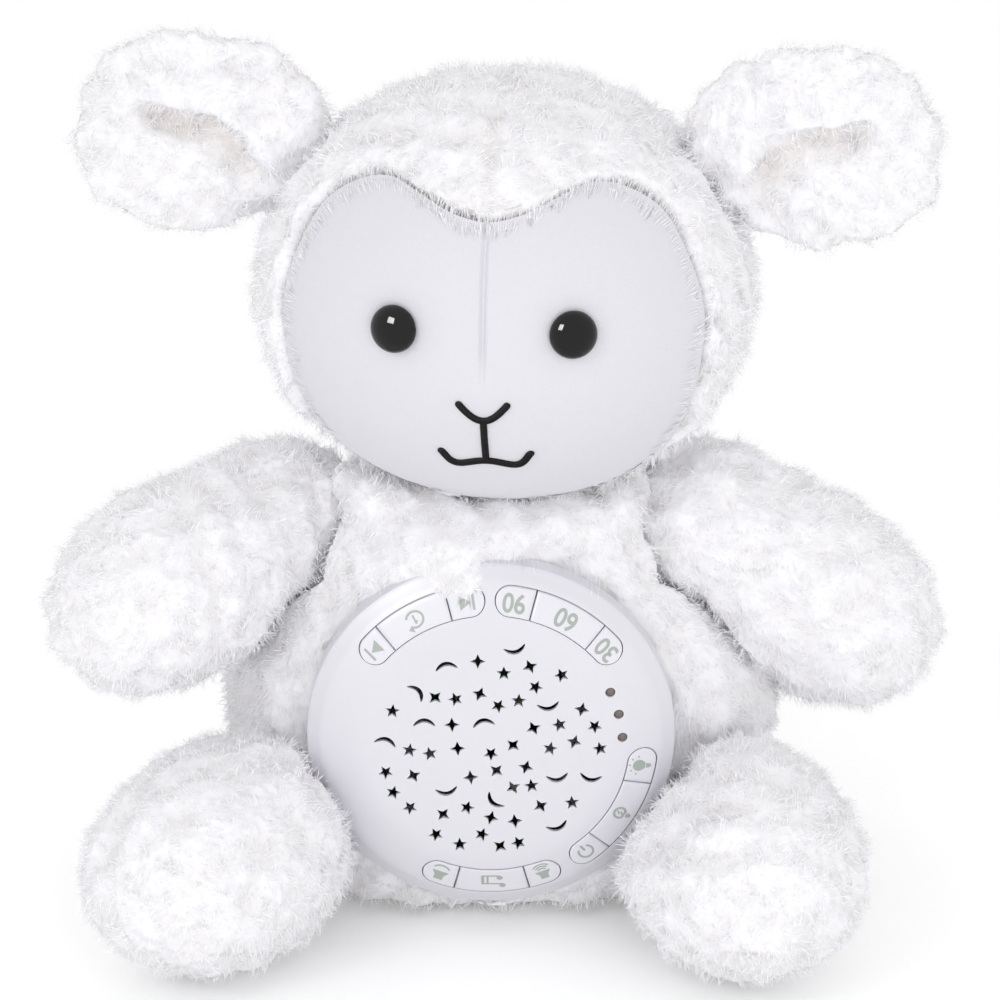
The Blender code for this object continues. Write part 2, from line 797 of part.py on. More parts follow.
def face_point(across, up, grow):
    """A point of the head's front, at a depth below or above its form, and the way out there."""
    x = across * HEAD_HALF_WIDTH
    z = up * HEAD_HALF_HEIGHT
    a, b, c = HEAD_HALF_WIDTH + grow, HEAD_HALF_DEPTH + grow, HEAD_HALF_HEIGHT + grow
    y = -b * math.sqrt(1.0 - (x / a) ** 2 - (z / c) ** 2)
    return Vector((x, y, z)), Vector((x / a**2, y / b**2, z / c**2)).normalized()


def eye_frame(side):
    across, up = EYE_PLACE_SHARES
    place, out = face_point(side * across, up, -FUR_STEP + PLASTIC_GAP)
    return dict(place=place, turn=out.to_track_quat("Z", "Y").to_euler(), parent=HEAD_FRAME)


def eye_room(side):
    """The shank's hole and the washer's slot, from the front of the face."""
    bore = SHANK_RADIUS + PLASTIC_GAP
    slot = WASHER_RADIUS + PLASTIC_GAP
    slot_top = -WASHER_DEPTH + PLASTIC_GAP
    slot_bottom = -WASHER_DEPTH - WASHER_THICKNESS - PLASTIC_GAP
    return turned(
        "eye_room",
        (
            (0.0, OVERRUN),
            (bore, OVERRUN),
            (bore, slot_top),
            (slot, slot_top),
            (slot, slot_bottom),
            (bore, slot_bottom),
            (bore, -SHANK_LENGTH - PLASTIC_GAP),
            (0.0, -SHANK_LENGTH - PLASTIC_GAP),
        ),
        steps=SMALL_STEPS,
        cutter=True,
        **eye_frame(side),
    )


def make_head():
    """The head, with a step for the face panel, holes for the eyes and room for the ears to swing."""
    head = head_form("head")
    step = face_prism("face_step", SOFT_GAP)
    cut(step, head_form("face_bed", -FUR_STEP - FACE_THICKNESS - SOFT_GAP, cutter=True))
    cut(head, step, eye_room(-1), eye_room(1), ear_room(-1), ear_room(1))
    finished(head, "fur")


def make_face():
    """The velour panel, one thin curved piece that follows the head."""
    panel = head_form("face_panel", -FUR_STEP)
    kept_inside(panel, face_prism("face_outline", 0.0))
    cut(panel, head_form("face_back", -FUR_STEP - FACE_THICKNESS, cutter=True))
    cut(panel, eye_room(-1), eye_room(1))
    finished(panel, "velour")


def make_eye(name, side):
    """A glossy dome on a shank that goes through the cloth."""
    rim = EYE_HEIGHT - EYE_EDGE
    dome = [(level * EYE_RADIUS, EYE_EDGE - height * rim) for height, level in arc(1.0, DOME_RINGS)]
    profile = dome + [
        (EYE_RADIUS - EYE_EDGE / 2, 0.0),
        (SHANK_RADIUS, 0.0),
        (SHANK_RADIUS, -SHANK_LENGTH + SHANK_RADIUS),
        (SHANK_RADIUS / 2, -SHANK_LENGTH),
        (0.0, -SHANK_LENGTH),
    ]
    eye = turned(name, profile, steps=LIMB_COLUMNS, **eye_frame(side))
    finished(eye, "eye_plastic")
    washer = turned(
        name + "_washer",
        (
            (SHANK_RADIUS + PLASTIC_GAP, -WASHER_DEPTH),
            (WASHER_RADIUS, -WASHER_DEPTH),
            (WASHER_RADIUS, -WASHER_DEPTH - WASHER_THICKNESS),
            (SHANK_RADIUS + PLASTIC_GAP, -WASHER_DEPTH - WASHER_THICKNESS),
        ),
        steps=SMALL_STEPS,
        loop=True,
        **eye_frame(side),
    )
    finished(washer, "washer_plastic")


def ribbon(points, width):
    """The outline of a stroke of even width with round ends."""
    path = [Vector(point) for point in points]
    sides = ([], [])
    for index, point in enumerate(path):
        ahead = path[min(index + 1, len(path) - 1)] - path[max(index - 1, 0)]
        across = Vector((-ahead.y, ahead.x)).normalized() * width / 2
        sides[0].append(point + across)
        sides[1].append(point - across)
    outline = list(sides[0])
    for end, start, other in ((path[-1], sides[0][-1], sides[1][::-1]), (path[0], sides[1][0], [])):
        arm = start - end
        for step in (1, 2, 3):
            turn = -math.pi * step / 4
            outline.append(
                end
                + Vector(
                    (
                        arm.x * math.cos(turn) - arm.y * math.sin(turn),
                        arm.x * math.sin(turn) + arm.y * math.cos(turn),
                    )
                )
            )
        outline += other
    return [(point.x, point.y) for point in outline]


def make_stitching():
    """The embroidered nose and mouth, raised a little over the velour."""
    strokes = []
    for index, shares in enumerate((NOSE_SHARES, STEM_SHARES, MOUTH_SHARES)):
        points = [(across * HEAD_HALF_WIDTH, up * HEAD_HALF_HEIGHT) for across, up in curved(shares, 2)]
        strokes.append(
            plates(
                "stroke",
                [ribbon(points, STITCH_WIDTH)],
                HEAD_HALF_DEPTH / 2 - index * OVERRUN,
                HEAD_HALF_DEPTH + OVERRUN + index * OVERRUN,
                parent=HEAD_FRAME,
                turn=UPRIGHT,
                cutter=True,
            )
        )
    joined(strokes[0], *strokes[1:])
    stitching = head_form("mouth_stitching", -FUR_STEP + PLASTIC_GAP + STITCH_RISE)
    kept_inside(stitching, strokes[0])
    cut(stitching, head_form("stitching_bed", -FUR_STEP + PLASTIC_GAP, cutter=True))
    finished(stitching, "thread")


# Ears


def ear_form(name, side, grow=0.0, **how):
    """An ear: a round root on the seam, from which a cupped flap goes out. Its seam is its X axis."""
    root_thickness = EAR_ROOT_THICKNESS_SHARE * EAR_HALF_THICKNESS
    rows = [
        (
            height * (root_thickness + grow),
            level * (EAR_ROOT_HALF_HEIGHT + grow),
            level * (root_thickness + grow),
        )
        for height, level in arc(1.0, DOME_RINGS)[:-1]
    ]
    root = (0.0, EAR_ROOT_HALF_HEIGHT / EAR_HALF_HEIGHT, EAR_ROOT_THICKNESS_SHARE)
    for along, height, thickness in curved((root,) + EAR_STATION_SHARES, 2):
        out = grow if height else 0.0
        rows.append(
            (along * EAR_LENGTH, height * EAR_HALF_HEIGHT + out, thickness * EAR_HALF_THICKNESS + out)
        )

    def shaped(across, thickness, along):
        lift = eased(along / EAR_LENGTH * 2)
        rim = (across / EAR_HALF_HEIGHT) ** 2
        fold = EAR_FOLD_SHARE if across < 0.0 else 1.0
        droop = EAR_DROOP_SHARE * max(along, 0.0)
        return -side * (across + droop), thickness + EAR_CUP * lift * rim * fold, along

    seam = Vector((side * math.sin(EAR_SEAM_LEAN), 0.0, -math.cos(EAR_SEAM_LEAN)))
    out_from_head = Vector((side * math.cos(EAR_SEAM_LEAN), 0.0, math.sin(EAR_SEAM_LEAN)))
    axes = Matrix((-side * seam, Vector((0.0, -1.0, 0.0)), out_from_head)).transposed()
    across, back, up = EAR_ROOT_SHARES
    place = Vector((side * across * HEAD_HALF_WIDTH, back * HEAD_HALF_DEPTH, up * HEAD_HALF_HEIGHT))
    return lofted(
        name, EAR_COLUMNS, rows, shape=shaped, parent=HEAD_FRAME, place=place, turn=axes.to_euler(), **how
    )


def ear_room(side):
    """What the ear's root sweeps as the ear swings to and fro, as one hull."""
    room = ear_form("ear_room", side, TURNING_GAP, cutter=True)
    near = [vert.co for vert in room.data.vertices if vert.co.z < EAR_ROOM_SHARE * EAR_LENGTH]
    bm = bmesh.new()
    for share in (-1.0, 0.0, 1.0):
        swing = Matrix.Rotation(share * EAR_SWING, 3, "X")
        for point in near:
            bm.verts.new(swing @ point)
    hull = bmesh.ops.convex_hull(bm, input=bm.verts)
    inside = set(hull["geom_interior"]) | set(hull["geom_unused"])
    bmesh.ops.delete(bm, geom=[item for item in inside if isinstance(item, bmesh.types.BMVert)])
    bmesh.ops.recalc_face_normals(bm, faces=bm.faces)
    bm.to_mesh(room.data)
    bm.free()
    return room


def make_ear(name, side):
    finished(ear_form(name, side), "fur")


# Module


def cover_height(radius):
    """The height of the cover's outer face at a radius."""
    points = [(r * COVER_RADIUS, h * COVER_RISE) for r, h in COVER_PROFILE_SHARES]
    for (r0, h0), (r1, h1) in zip(points, points[1:]):
        if r0 <= radius <= r1:
            return between(h0, h1, (radius - r0) / (r1 - r0))
    return points[-1][1]


def sector(inner, outer, start, end, round_start, round_end, trim=0.0):
    """The outline of a band between two radii and two angles, less a trim, with round or square ends."""
    middle = (inner + outer) / 2
    half = (outer - inner) / 2 - trim
    first = math.radians(start) + (half + trim if round_start else trim) / middle
    last = math.radians(end) - (half + trim if round_end else trim) / middle
    steps = math.ceil((end - start) / BAND_STEP_DEGREES)
    outline = []
    for radius, begin, finish, capped in (
        (middle + half, first, last, round_end),
        (middle - half, last, first, round_start),
    ):
        for step in range(steps + 1):
            angle = between(begin, finish, step / steps)
            outline.append((radius * math.cos(angle), radius * math.sin(angle)))
        if capped:
            centre = (middle * math.cos(finish), middle * math.sin(finish))
            lean = finish if radius > middle else finish + math.pi
            for step in range(1, CAP_STEPS):
                angle = lean + math.pi * step / CAP_STEPS
                outline.append((centre[0] + half * math.cos(angle), centre[1] + half * math.sin(angle)))
    return outline


def star(points, waist, place, turn):
    outline = []
    for index in range(2 * points):
        radius = STAR_RADIUS * (waist if index % 2 else 1.0)
        x, y = polar(radius, turn + 180.0 * index / points)
        outline.append((place[0] * COVER_RADIUS + x, place[1] * COVER_RADIUS + y))
    return outline


def crescent(place, turn):
    """An arch with pointed ends, turned about its middle."""
    outline = []
    for step in range(CRESCENT_STEPS + 1):
        share = 2.0 * step / CRESCENT_STEPS - 1.0
        outline.append((share * CRESCENT_LENGTH / 2, (0.5 - share**2) * CRESCENT_RISE))
    for step in range(1, CRESCENT_STEPS):
        share = 1.0 - 2.0 * step / CRESCENT_STEPS
        rise = (0.5 - share**2) * CRESCENT_RISE - (1.0 - share**2) * CRESCENT_THICKNESS
        outline.append((share * CRESCENT_LENGTH / 2, rise))
    cosine, sine = math.cos(math.radians(turn)), math.sin(math.radians(turn))
    return [
        (
            place[0] * COVER_RADIUS + x * cosine - y * sine,
            place[1] * COVER_RADIUS + x * sine + y * cosine,
        )
        for x, y in outline
    ]


def screw_places():
    return [polar(SCREW_CIRCLE, angle) for angle in SCREW_ANGLES]


def make_cover():
    """The domed front: openings for the keys, the windows and the stars, and bosses for the screws."""
    outer = [(r * COVER_RADIUS, h * COVER_RISE) for r, h in COVER_PROFILE_SHARES]
    inside = [(r, h - COVER_WALL) for r, h in outer[:3]]
    skirt_inner = COVER_RADIUS - COVER_SKIRT_WALL
    profile = outer + [
        (COVER_RADIUS, -COVER_SKIRT),
        (skirt_inner, -COVER_SKIRT),
        (skirt_inner, PLASTIC_GAP),
        (SHOULDER_RADIUS, PLASTIC_GAP),
        (SHOULDER_RADIUS, cover_height(SHOULDER_RADIUS) - COVER_WALL),
    ]
    cover = turned("front_cover", profile + inside[::-1], parent=MODULE_FRAME)
    bosses = rods(
        "bosses", screw_places(), BOSS_RADIUS, PLASTIC_GAP, COVER_RISE - COVER_WALL / 2, **LOOSE_IN_MODULE
    )
    joined(cover, bosses)
    screw_holes = rods(
        "screw_holes", screw_places(), SCREW_BORE, -OVERRUN, SCREW_REACH + PLASTIC_GAP, **LOOSE_IN_MODULE
    )
    top = COVER_RISE + OVERRUN
    bands = [sector(BAND_INNER, BAND_OUTER, start, end, True, True) for start, end, keys in BANDS]
    band_holes = plates("band_holes", bands, PLASTIC_GAP, top, **LOOSE_IN_MODULE)
    windows = rods("windows", window_places(), WINDOW_RADIUS, PLASTIC_GAP, top, **LOOSE_IN_MODULE)
    shapes = [star(5, STAR_WAIST_SHARE, at, 90.0 + STAR_TURN * n) for n, at in enumerate(FIVE_POINT_SHARES)]
    shapes += [star(4, SPARK_WAIST_SHARE, at, STAR_TURN * n) for n, at in enumerate(FOUR_POINT_SHARES)]
    shapes += [crescent(at, turn) for at, turn in zip(CRESCENT_SHARES, CRESCENT_TURNS)]
    stars = plates("star_holes", shapes, COVER_UNDERSIDE - OVERRUN / 2, top, **LOOSE_IN_MODULE)
    cut(cover, screw_holes, band_holes, windows, stars)
    finished(cover, "cover_plastic")


def window_places():
    return [polar(WINDOW_PLACE_SHARE * COVER_RADIUS, angle) for angle in WINDOW_ANGLES]


def under_cover(name, lift):
    """A solid from the keys' undersides up to a surface that lies lift over the cover's outer face."""
    outer = [(r * COVER_RADIUS, h * COVER_RISE + lift) for r, h in COVER_PROFILE_SHARES[:4]]
    return turned(name, outer + [(outer[-1][0], KEY_BASE), (0.0, KEY_BASE)], parent=MODULE_FRAME)


def make_key(name, start, end, round_start, round_end):
    """A key: a cap that fills its part of the band, and a lip that holds it under the cover."""
    ends = (start, end, round_start, round_end)
    top = COVER_RISE + OVERRUN
    cap = under_cover(name, KEY_PROUD)
    cap_outline = sector(BAND_INNER, BAND_OUTER, *ends, PLASTIC_GAP)
    kept_inside(cap, plates("cap", [cap_outline], 0.0, top, **LOOSE_IN_MODULE))
    lip = under_cover("lip", -COVER_WALL - PLASTIC_GAP)
    swell = KEY_LIP / ((BAND_INNER + BAND_OUTER) / 2)
    lip_outline = sector(
        BAND_INNER - KEY_LIP,
        BAND_OUTER + KEY_LIP,
        start - (math.degrees(swell) if round_start else 0.0),
        end + (math.degrees(swell) if round_end else 0.0),
        round_start,
        round_end,
        PLASTIC_GAP,
    )
    kept_inside(lip, plates("lip_outline", [lip_outline], 0.0, top, **LOOSE_IN_MODULE))
    joined(cap, lip)
    bpy.data.objects.remove(lip)
    place = Vector((*key_place(start, end), KEY_BASE))
    cap.data.transform(Matrix.Translation(-place))
    cap.location = place
    finished(cap, "cover_plastic")


def key_place(start, end):
    return polar((BAND_INNER + BAND_OUTER) / 2, (start + end) / 2)


def make_keys():
    for band_start, band_end, keys in BANDS:
        for name, start, end in keys:
            make_key(name, start, end, start == band_start, end == band_end)


def make_button_board():
    """The ring board, with a switch under each key and notches for the screw posts."""
    top = -BOARD_DEPTH
    board = turned(
        "button_board",
        (
            (BOARD_INNER_RADIUS, top),
            (BOARD_OUTER_RADIUS, top),
            (BOARD_OUTER_RADIUS, BOARD_BOTTOM),
            (BOARD_INNER_RADIUS, BOARD_BOTTOM),
        ),
        loop=True,
        parent=MODULE_FRAME,
    )
    notch = POST_RADIUS + 2 * PLASTIC_GAP
    low, high = BOARD_BOTTOM - OVERRUN, top + OVERRUN
    cut(board, rods("notches", screw_places(), notch, low, high, **LOOSE_IN_MODULE))
    centres = [key_place(start, end) for band in BANDS for name, start, end in band[2]]
    half_diagonal = SWITCH_SIDE / math.sqrt(2.0)
    bodies = []
    for x, y in centres:
        lean = math.degrees(math.atan2(y, x))
        corners = [polar(half_diagonal, lean + 45.0 + 90.0 * corner) for corner in range(4)]
        bodies.append([(x + dx, y + dy) for dx, dy in corners])
    middle = top - BOARD_THICKNESS / 2
    switches = plates("switches", bodies, middle, top + SWITCH_HEIGHT, **LOOSE_IN_MODULE)
    plunger_top = KEY_BASE - KEY_TRAVEL - PLASTIC_GAP
    plungers = rods("plungers", centres, PLUNGER_RADIUS, top, plunger_top, sides=6, **LOOSE_IN_MODULE)
    joined(board, switches, plungers)
    finished(board, "board")


def make_indicator_lamps():
    """The little lamps that show through the windows beside the keys."""
    radius = WINDOW_RADIUS - PLASTIC_GAP
    top = cover_height(WINDOW_PLACE_SHARE * COVER_RADIUS) - radius / 2
    for index, place in enumerate(window_places()):
        lamp = turned(
            f"indicator_lamp_{index + 1}",
            (
                (0.0, top),
                (radius * (1 - WINDOW_BEVEL_SHARE), top - radius * WINDOW_BEVEL_SHARE),
                (radius, top - radius),
                (radius, -BOARD_DEPTH + PLASTIC_GAP),
                (0.0, -BOARD_DEPTH + PLASTIC_GAP),
            ),
            steps=PIN_STEPS,
            parent=MODULE_FRAME,
            place=(*place, 0.0),
        )
        finished(lamp, "window")


def make_case():
    """The cup behind the cover: flange, neck, battery bay, screw posts, speaker seat and door recess."""
    case = turned(
        "rear_case",
        (
            (0.0, CASE_FLOOR),
            (CASE_INNER, CASE_FLOOR),
            (CASE_INNER, CASE_LEDGE),
            (BOARD_OUTER_RADIUS + PLASTIC_GAP, CASE_LEDGE),
            (BOARD_OUTER_RADIUS + PLASTIC_GAP, 0.0),
            (CASE_RADIUS, 0.0),
            (CASE_RADIUS, -FLANGE_DEPTH),
            (NECK_RADIUS, -FLANGE_DEPTH),
            (NECK_RADIUS, -CASE_DEPTH),
            (0.0, -CASE_DEPTH),
        ),
        parent=MODULE_FRAME,
    )
    root = CASE_FLOOR - CASE_WALL / 2
    bay = block(
        "bay",
        (-BAY_HALF_LENGTH - BAY_WALL, BAY_UP - BAY_HALF_WIDTH - BAY_WALL, root),
        (BAY_HALF_LENGTH + BAY_WALL, BAY_UP + BAY_HALF_WIDTH + BAY_WALL, BAY_CEILING + BAY_WALL),
        **LOOSE_IN_MODULE,
    )
    pad = block(
        "door_pad",
        (BAY_HALF_LENGTH + BAY_WALL / 2, BAY_UP - DOOR_TAB_HALF_WIDTH - BAY_WALL, root),
        (
            BAY_HALF_LENGTH + DOOR_TAB_LENGTH + BAY_WALL,
            BAY_UP + DOOR_TAB_HALF_WIDTH + BAY_WALL,
            -CASE_DEPTH + DOOR_SCREW_LENGTH + CASE_WALL,
        ),
        **LOOSE_IN_MODULE,
    )
    posts = rods("posts", screw_places(), POST_RADIUS, root, 0.0, sides=SMALL_STEPS, **LOOSE_IN_MODULE)
    seat_outer = SPEAKER_RADIUS - PLASTIC_GAP
    seat_inner = seat_outer - SPEAKER_SEAT_WALL
    seat = turned(
        "speaker_seat",
        (
            (seat_inner, SPEAKER_SEAT_TOP),
            (seat_outer, SPEAKER_SEAT_TOP),
            (seat_outer, root),
            (seat_inner, root),
        ),
        steps=LIMB_COLUMNS,
        loop=True,
        place=(0.0, -SPEAKER_DOWN, 0.0),
        **LOOSE_IN_MODULE,
    )
    offset = DRUM_RADIUS / math.sqrt(2.0)
    standoffs = rods(
        "standoffs",
        ((-offset, DRUM_UP), (offset, DRUM_UP)),
        STANDOFF_RADIUS,
        BAY_CEILING + BAY_WALL / 2,
        LAMP_BOARD_BOTTOM - PLASTIC_GAP,
        **LOOSE_IN_MODULE,
    )
    joined(case, bay, pad, posts, seat, standoffs)
    below = -CASE_DEPTH - OVERRUN
    bay_room = block(
        "bay_room",
        (-BAY_HALF_LENGTH, BAY_UP - BAY_HALF_WIDTH, below),
        (BAY_HALF_LENGTH, BAY_UP + BAY_HALF_WIDTH, BAY_CEILING),
        **LOOSE_IN_MODULE,
    )
    tab_room = block(
        "tab_room",
        (BAY_HALF_LENGTH - BAY_WALL, BAY_UP - DOOR_TAB_HALF_WIDTH - PLASTIC_GAP, below),
        (
            BAY_HALF_LENGTH + DOOR_TAB_LENGTH + PLASTIC_GAP,
            BAY_UP + DOOR_TAB_HALF_WIDTH + PLASTIC_GAP,
            -CASE_DEPTH + DOOR_TAB_THICKNESS + PLASTIC_GAP,
        ),
        **LOOSE_IN_MODULE,
    )
    bores = rods("bores", screw_places(), SCREW_BORE, below, OVERRUN, **LOOSE_IN_MODULE)
    heads = rods(
        "head_recesses",
        screw_places(),
        SCREW_HEAD_RADIUS + PLASTIC_GAP,
        below,
        -CASE_DEPTH + SCREW_SINK + SCREW_HEAD_HEIGHT + PLASTIC_GAP,
        sides=SMALL_STEPS,
        **LOOSE_IN_MODULE,
    )
    door_bore = rods(
        "door_bore",
        [door_screw_place()],
        SCREW_BORE,
        below,
        -CASE_DEPTH + DOOR_SCREW_LENGTH + PLASTIC_GAP,
        **LOOSE_IN_MODULE,
    )
    cut(case, bay_room, tab_room, bores, heads, door_bore)
    finished(case, "case_plastic")


def door_screw_place():
    return BAY_HALF_LENGTH + DOOR_TAB_LENGTH / 2, BAY_UP


def make_screw(name, place, bottom, head_radius, head_height, length):
    """A screw from the back, with a round head and a dimple for the driver."""
    screw = turned(
        name,
        (
            (0.0, length),
            (SCREW_RADIUS, length - SCREW_RADIUS / 2),
            (SCREW_RADIUS, head_height),
            (head_radius, head_height),
            (head_radius, 0.0),
            (head_radius / 2, 0.0),
            (0.0, head_height / 2),
        ),
        steps=PIN_STEPS,
        parent=MODULE_FRAME,
        place=(*place, bottom),
    )
    finished(screw, "steel")


def make_screws():
    bottom = -CASE_DEPTH + SCREW_SINK
    for index, place in enumerate(screw_places()):
        length = SCREW_REACH - bottom
        make_screw(f"case_screw_{index + 1}", place, bottom, SCREW_HEAD_RADIUS, SCREW_HEAD_HEIGHT, length)
    make_screw(
        "battery_door_screw",
        door_screw_place(),
        -CASE_DEPTH,
        SCREW_HEAD_RADIUS,
        DOOR_TAB_THICKNESS / 2,
        DOOR_SCREW_LENGTH,
    )


def make_door():
    """The battery door: a plate that fills the bay's mouth, with a tab for its screw."""
    door = block(
        "battery_door",
        (-BAY_HALF_LENGTH + PLASTIC_GAP, BAY_UP - BAY_HALF_WIDTH + PLASTIC_GAP, -CASE_DEPTH),
        (BAY_HALF_LENGTH - PLASTIC_GAP, BAY_UP + BAY_HALF_WIDTH - PLASTIC_GAP, CASE_FLOOR),
        parent=MODULE_FRAME,
    )
    tab = block(
        "door_tab",
        (BAY_HALF_LENGTH - BAY_WALL, BAY_UP - DOOR_TAB_HALF_WIDTH, -CASE_DEPTH),
        (
            BAY_HALF_LENGTH + DOOR_TAB_LENGTH,
            BAY_UP + DOOR_TAB_HALF_WIDTH,
            -CASE_DEPTH + DOOR_TAB_THICKNESS,
        ),
        **LOOSE_IN_MODULE,
    )
    joined(door, tab)
    below = -CASE_DEPTH - OVERRUN
    place = [door_screw_place()]
    hole = rods("door_hole", place, SCREW_BORE, below, OVERRUN - CASE_DEPTH, **LOOSE_IN_MODULE)
    recess_top = -CASE_DEPTH + DOOR_TAB_THICKNESS / 2 + PLASTIC_GAP
    recess = rods(
        "door_recess",
        place,
        SCREW_HEAD_RADIUS + PLASTIC_GAP,
        below,
        recess_top,
        sides=SMALL_STEPS,
        **LOOSE_IN_MODULE,
    )
    cut(door, hole, recess)
    finished(door, "case_plastic")


def make_cells():
    """The batteries lie side by side, every other one turned round, between two contact strips."""
    middle = (CELL_COUNT - 1) / 2
    half = CELL_LENGTH / 2
    edge = CELL_TIP / 3
    for index in range(CELL_COUNT):
        cell = turned(
            f"battery_cell_{index + 1}",
            (
                (0.0, half),
                (CELL_TIP_RADIUS, half),
                (CELL_TIP_RADIUS, half - CELL_TIP),
                (CELL_RADIUS - edge, half - CELL_TIP),
                (CELL_RADIUS, half - CELL_TIP - edge),
                (CELL_RADIUS, edge - half),
                (CELL_RADIUS - edge, -half),
                (0.0, -half),
            ),
            steps=SMALL_STEPS,
            parent=MODULE_FRAME,
            place=(0.0, BAY_UP + (index - middle) * CELL_PITCH, CELL_Z),
            turn=(0.0, math.radians(90.0 if index % 2 else -90.0), 0.0),
        )
        finished(cell, "cell")
    strip_half = BAY_HALF_WIDTH - CELL_RADIUS / 2
    reach = BAY_END_SPACE - 2 * PLASTIC_GAP
    for side, name in ((-1, "left_battery_contacts"), (1, "right_battery_contacts")):
        how = dict(
            parent=MODULE_FRAME,
            place=(side * (BAY_HALF_LENGTH - PLASTIC_GAP), BAY_UP, CELL_Z),
            turn=(0.0, math.radians(-90.0 * side), 0.0),
        )
        strip = block(
            name,
            (-CONTACT_HALF_WIDTH, -strip_half, 0.0),
            (CONTACT_HALF_WIDTH, strip_half, CONTACT_THICKNESS),
            **how,
        )
        tip_places = [(0.0, (index - middle) * CELL_PITCH) for index in range(CELL_COUNT)]
        tips = rods(
            "tips", tip_places, CONTACT_TIP_RADIUS, CONTACT_THICKNESS / 2, reach, cutter=True, **how
        )
        joined(strip, tips)
        finished(strip, "steel")


def make_speaker():
    """The speaker: a basket on its seat, a paper cone in it and a magnet behind it."""
    top = -SPEAKER_TOP
    back = top - SPEAKER_DEPTH
    rim = SPEAKER_RADIUS - SPEAKER_SEAT_WALL - 2 * PLASTIC_GAP
    place = (0.0, -SPEAKER_DOWN, 0.0)
    how = dict(steps=LIMB_COLUMNS, parent=MODULE_FRAME, place=place)
    basket = turned(
        "speaker_frame",
        (
            (0.0, back + SPEAKER_WALL),
            (MAGNET_RADIUS - SPEAKER_WALL, back + SPEAKER_WALL),
            (rim - SPEAKER_WALL, top),
            (SPEAKER_RADIUS, top),
            (SPEAKER_RADIUS, top - SPEAKER_FLANGE),
            (rim, top - SPEAKER_FLANGE),
            (MAGNET_RADIUS, back),
            (0.0, back),
        ),
        **how,
    )
    finished(basket, "steel")
    edge = rim - 2 * (SPEAKER_WALL + PLASTIC_GAP)
    high = top - SPEAKER_WALL
    deep = high - SPEAKER_DEPTH / 2
    cap = MAGNET_RADIUS / 2
    thin = SPEAKER_WALL / 2
    cone = turned(
        "speaker_cone",
        (
            (0.0, deep + cap / 3),
            (cap / 2, deep + cap / 4),
            (cap, deep),
            (edge, high),
            (edge, high - thin),
            (cap, deep - thin),
            (cap / 2, deep + cap / 4 - thin),
            (0.0, deep + cap / 3 - thin),
        ),
        **how,
    )
    finished(cone, "paper_cone")
    magnet = turned(
        "speaker_magnet",
        (
            (0.0, back - PLASTIC_GAP),
            (MAGNET_RADIUS, back - PLASTIC_GAP),
            (MAGNET_RADIUS, back - PLASTIC_GAP - MAGNET_HEIGHT),
            (0.0, back - PLASTIC_GAP - MAGNET_HEIGHT),
        ),
        **how,
    )
    finished(magnet, "ferrite")


def make_light():
    """The lamp board on its standoffs, its three star lamps and the drum that sends their light out."""
    board_radius = DRUM_RADIUS + LAMP_BOARD_OVERHANG
    centre = (0.0, DRUM_UP, 0.0)
    board = turned(
        "lamp_board",
        (
            (0.0, LAMP_BOARD_TOP),
            (board_radius, LAMP_BOARD_TOP),
            (board_radius, LAMP_BOARD_BOTTOM),
            (0.0, LAMP_BOARD_BOTTOM),
        ),
        steps=LIMB_COLUMNS,
        parent=MODULE_FRAME,
        place=centre,
    )
    finished(board, "board")
    foot = LAMP_BOARD_TOP + PLASTIC_GAP
    drum = turned(
        "light_chamber",
        (
            (DRUM_RADIUS - DRUM_WALL, COVER_UNDERSIDE - PLASTIC_GAP),
            (DRUM_RADIUS, COVER_UNDERSIDE - PLASTIC_GAP),
            (DRUM_RADIUS, foot),
            (DRUM_RADIUS - DRUM_WALL, foot),
        ),
        steps=LIMB_COLUMNS,
        loop=True,
        parent=MODULE_FRAME,
        place=centre,
    )
    finished(drum, "drum")
    collar = LAMP_RADIUS + 2 * PLASTIC_GAP
    dome = [
        (LAMP_RADIUS * level, LAMP_HEIGHT - LAMP_RADIUS * (1 + height))
        for height, level in arc(1.0, LAMP_RINGS)
    ]
    for index in range(3):
        x, y = polar(LAMP_RING_RADIUS, 90.0 + 120.0 * index)
        lamp = turned(
            f"star_lamp_{index + 1}",
            dome + [(LAMP_RADIUS, LAMP_RADIUS / 2), (collar, LAMP_RADIUS / 2), (collar, 0.0), (0.0, 0.0)],
            steps=PIN_STEPS,
            parent=MODULE_FRAME,
            place=(x, DRUM_UP + y, foot),
        )
        finished(lamp, "lamp")


def make_binding():
    """The sewn ring round the pocket's mouth, which grips the case behind its flange."""
    top = -FLANGE_DEPTH - SOFT_GAP
    inner = NECK_RADIUS + SOFT_GAP
    binding = turned(
        "pocket_ring",
        (
            (inner, top),
            (inner + BINDING_WIDTH, top),
            (inner + BINDING_WIDTH, top - BINDING_THICKNESS),
            (inner, top - BINDING_THICKNESS),
        ),
        loop=True,
        parent=MODULE_FRAME,
    )
    finished(binding, "binding")


def main():
    make_torso()
    make_head()
    make_face()
    make_stitching()
    make_arm("left_arm", -1, LEFT_ARM_TURNS)
    make_arm("right_arm", 1, RIGHT_ARM_TURNS)
    make_leg("left_leg", -1, LEFT_LEG_SHARES, LEFT_LEG_SPREAD)
    make_leg("right_leg", 1, RIGHT_LEG_SHARES, RIGHT_LEG_SPREAD)
    for name, side in (("left", -1), ("right", 1)):
        make_ear(name + "_ear", side)
        make_eye(name + "_eye", side)
    make_binding()
    make_cover()
    make_keys()
    make_button_board()
    make_indicator_lamps()
    make_case()
    make_screws()
    make_door()
    make_cells()
    make_speaker()
    make_light()


main()
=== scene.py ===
# %% [markdown]
# # A plush lamb with a star light in its belly
# The real object is a sitting plush lamb of long white pile. Its face is short velour with two glossy
# safety eyes and a stitched nose and mouth, and a round plastic module with buttons and star-shaped
# openings is sewn into its belly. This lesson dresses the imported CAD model, piece by piece.
# Lengths are metres, +Z is up, and the lamb faces -Y.

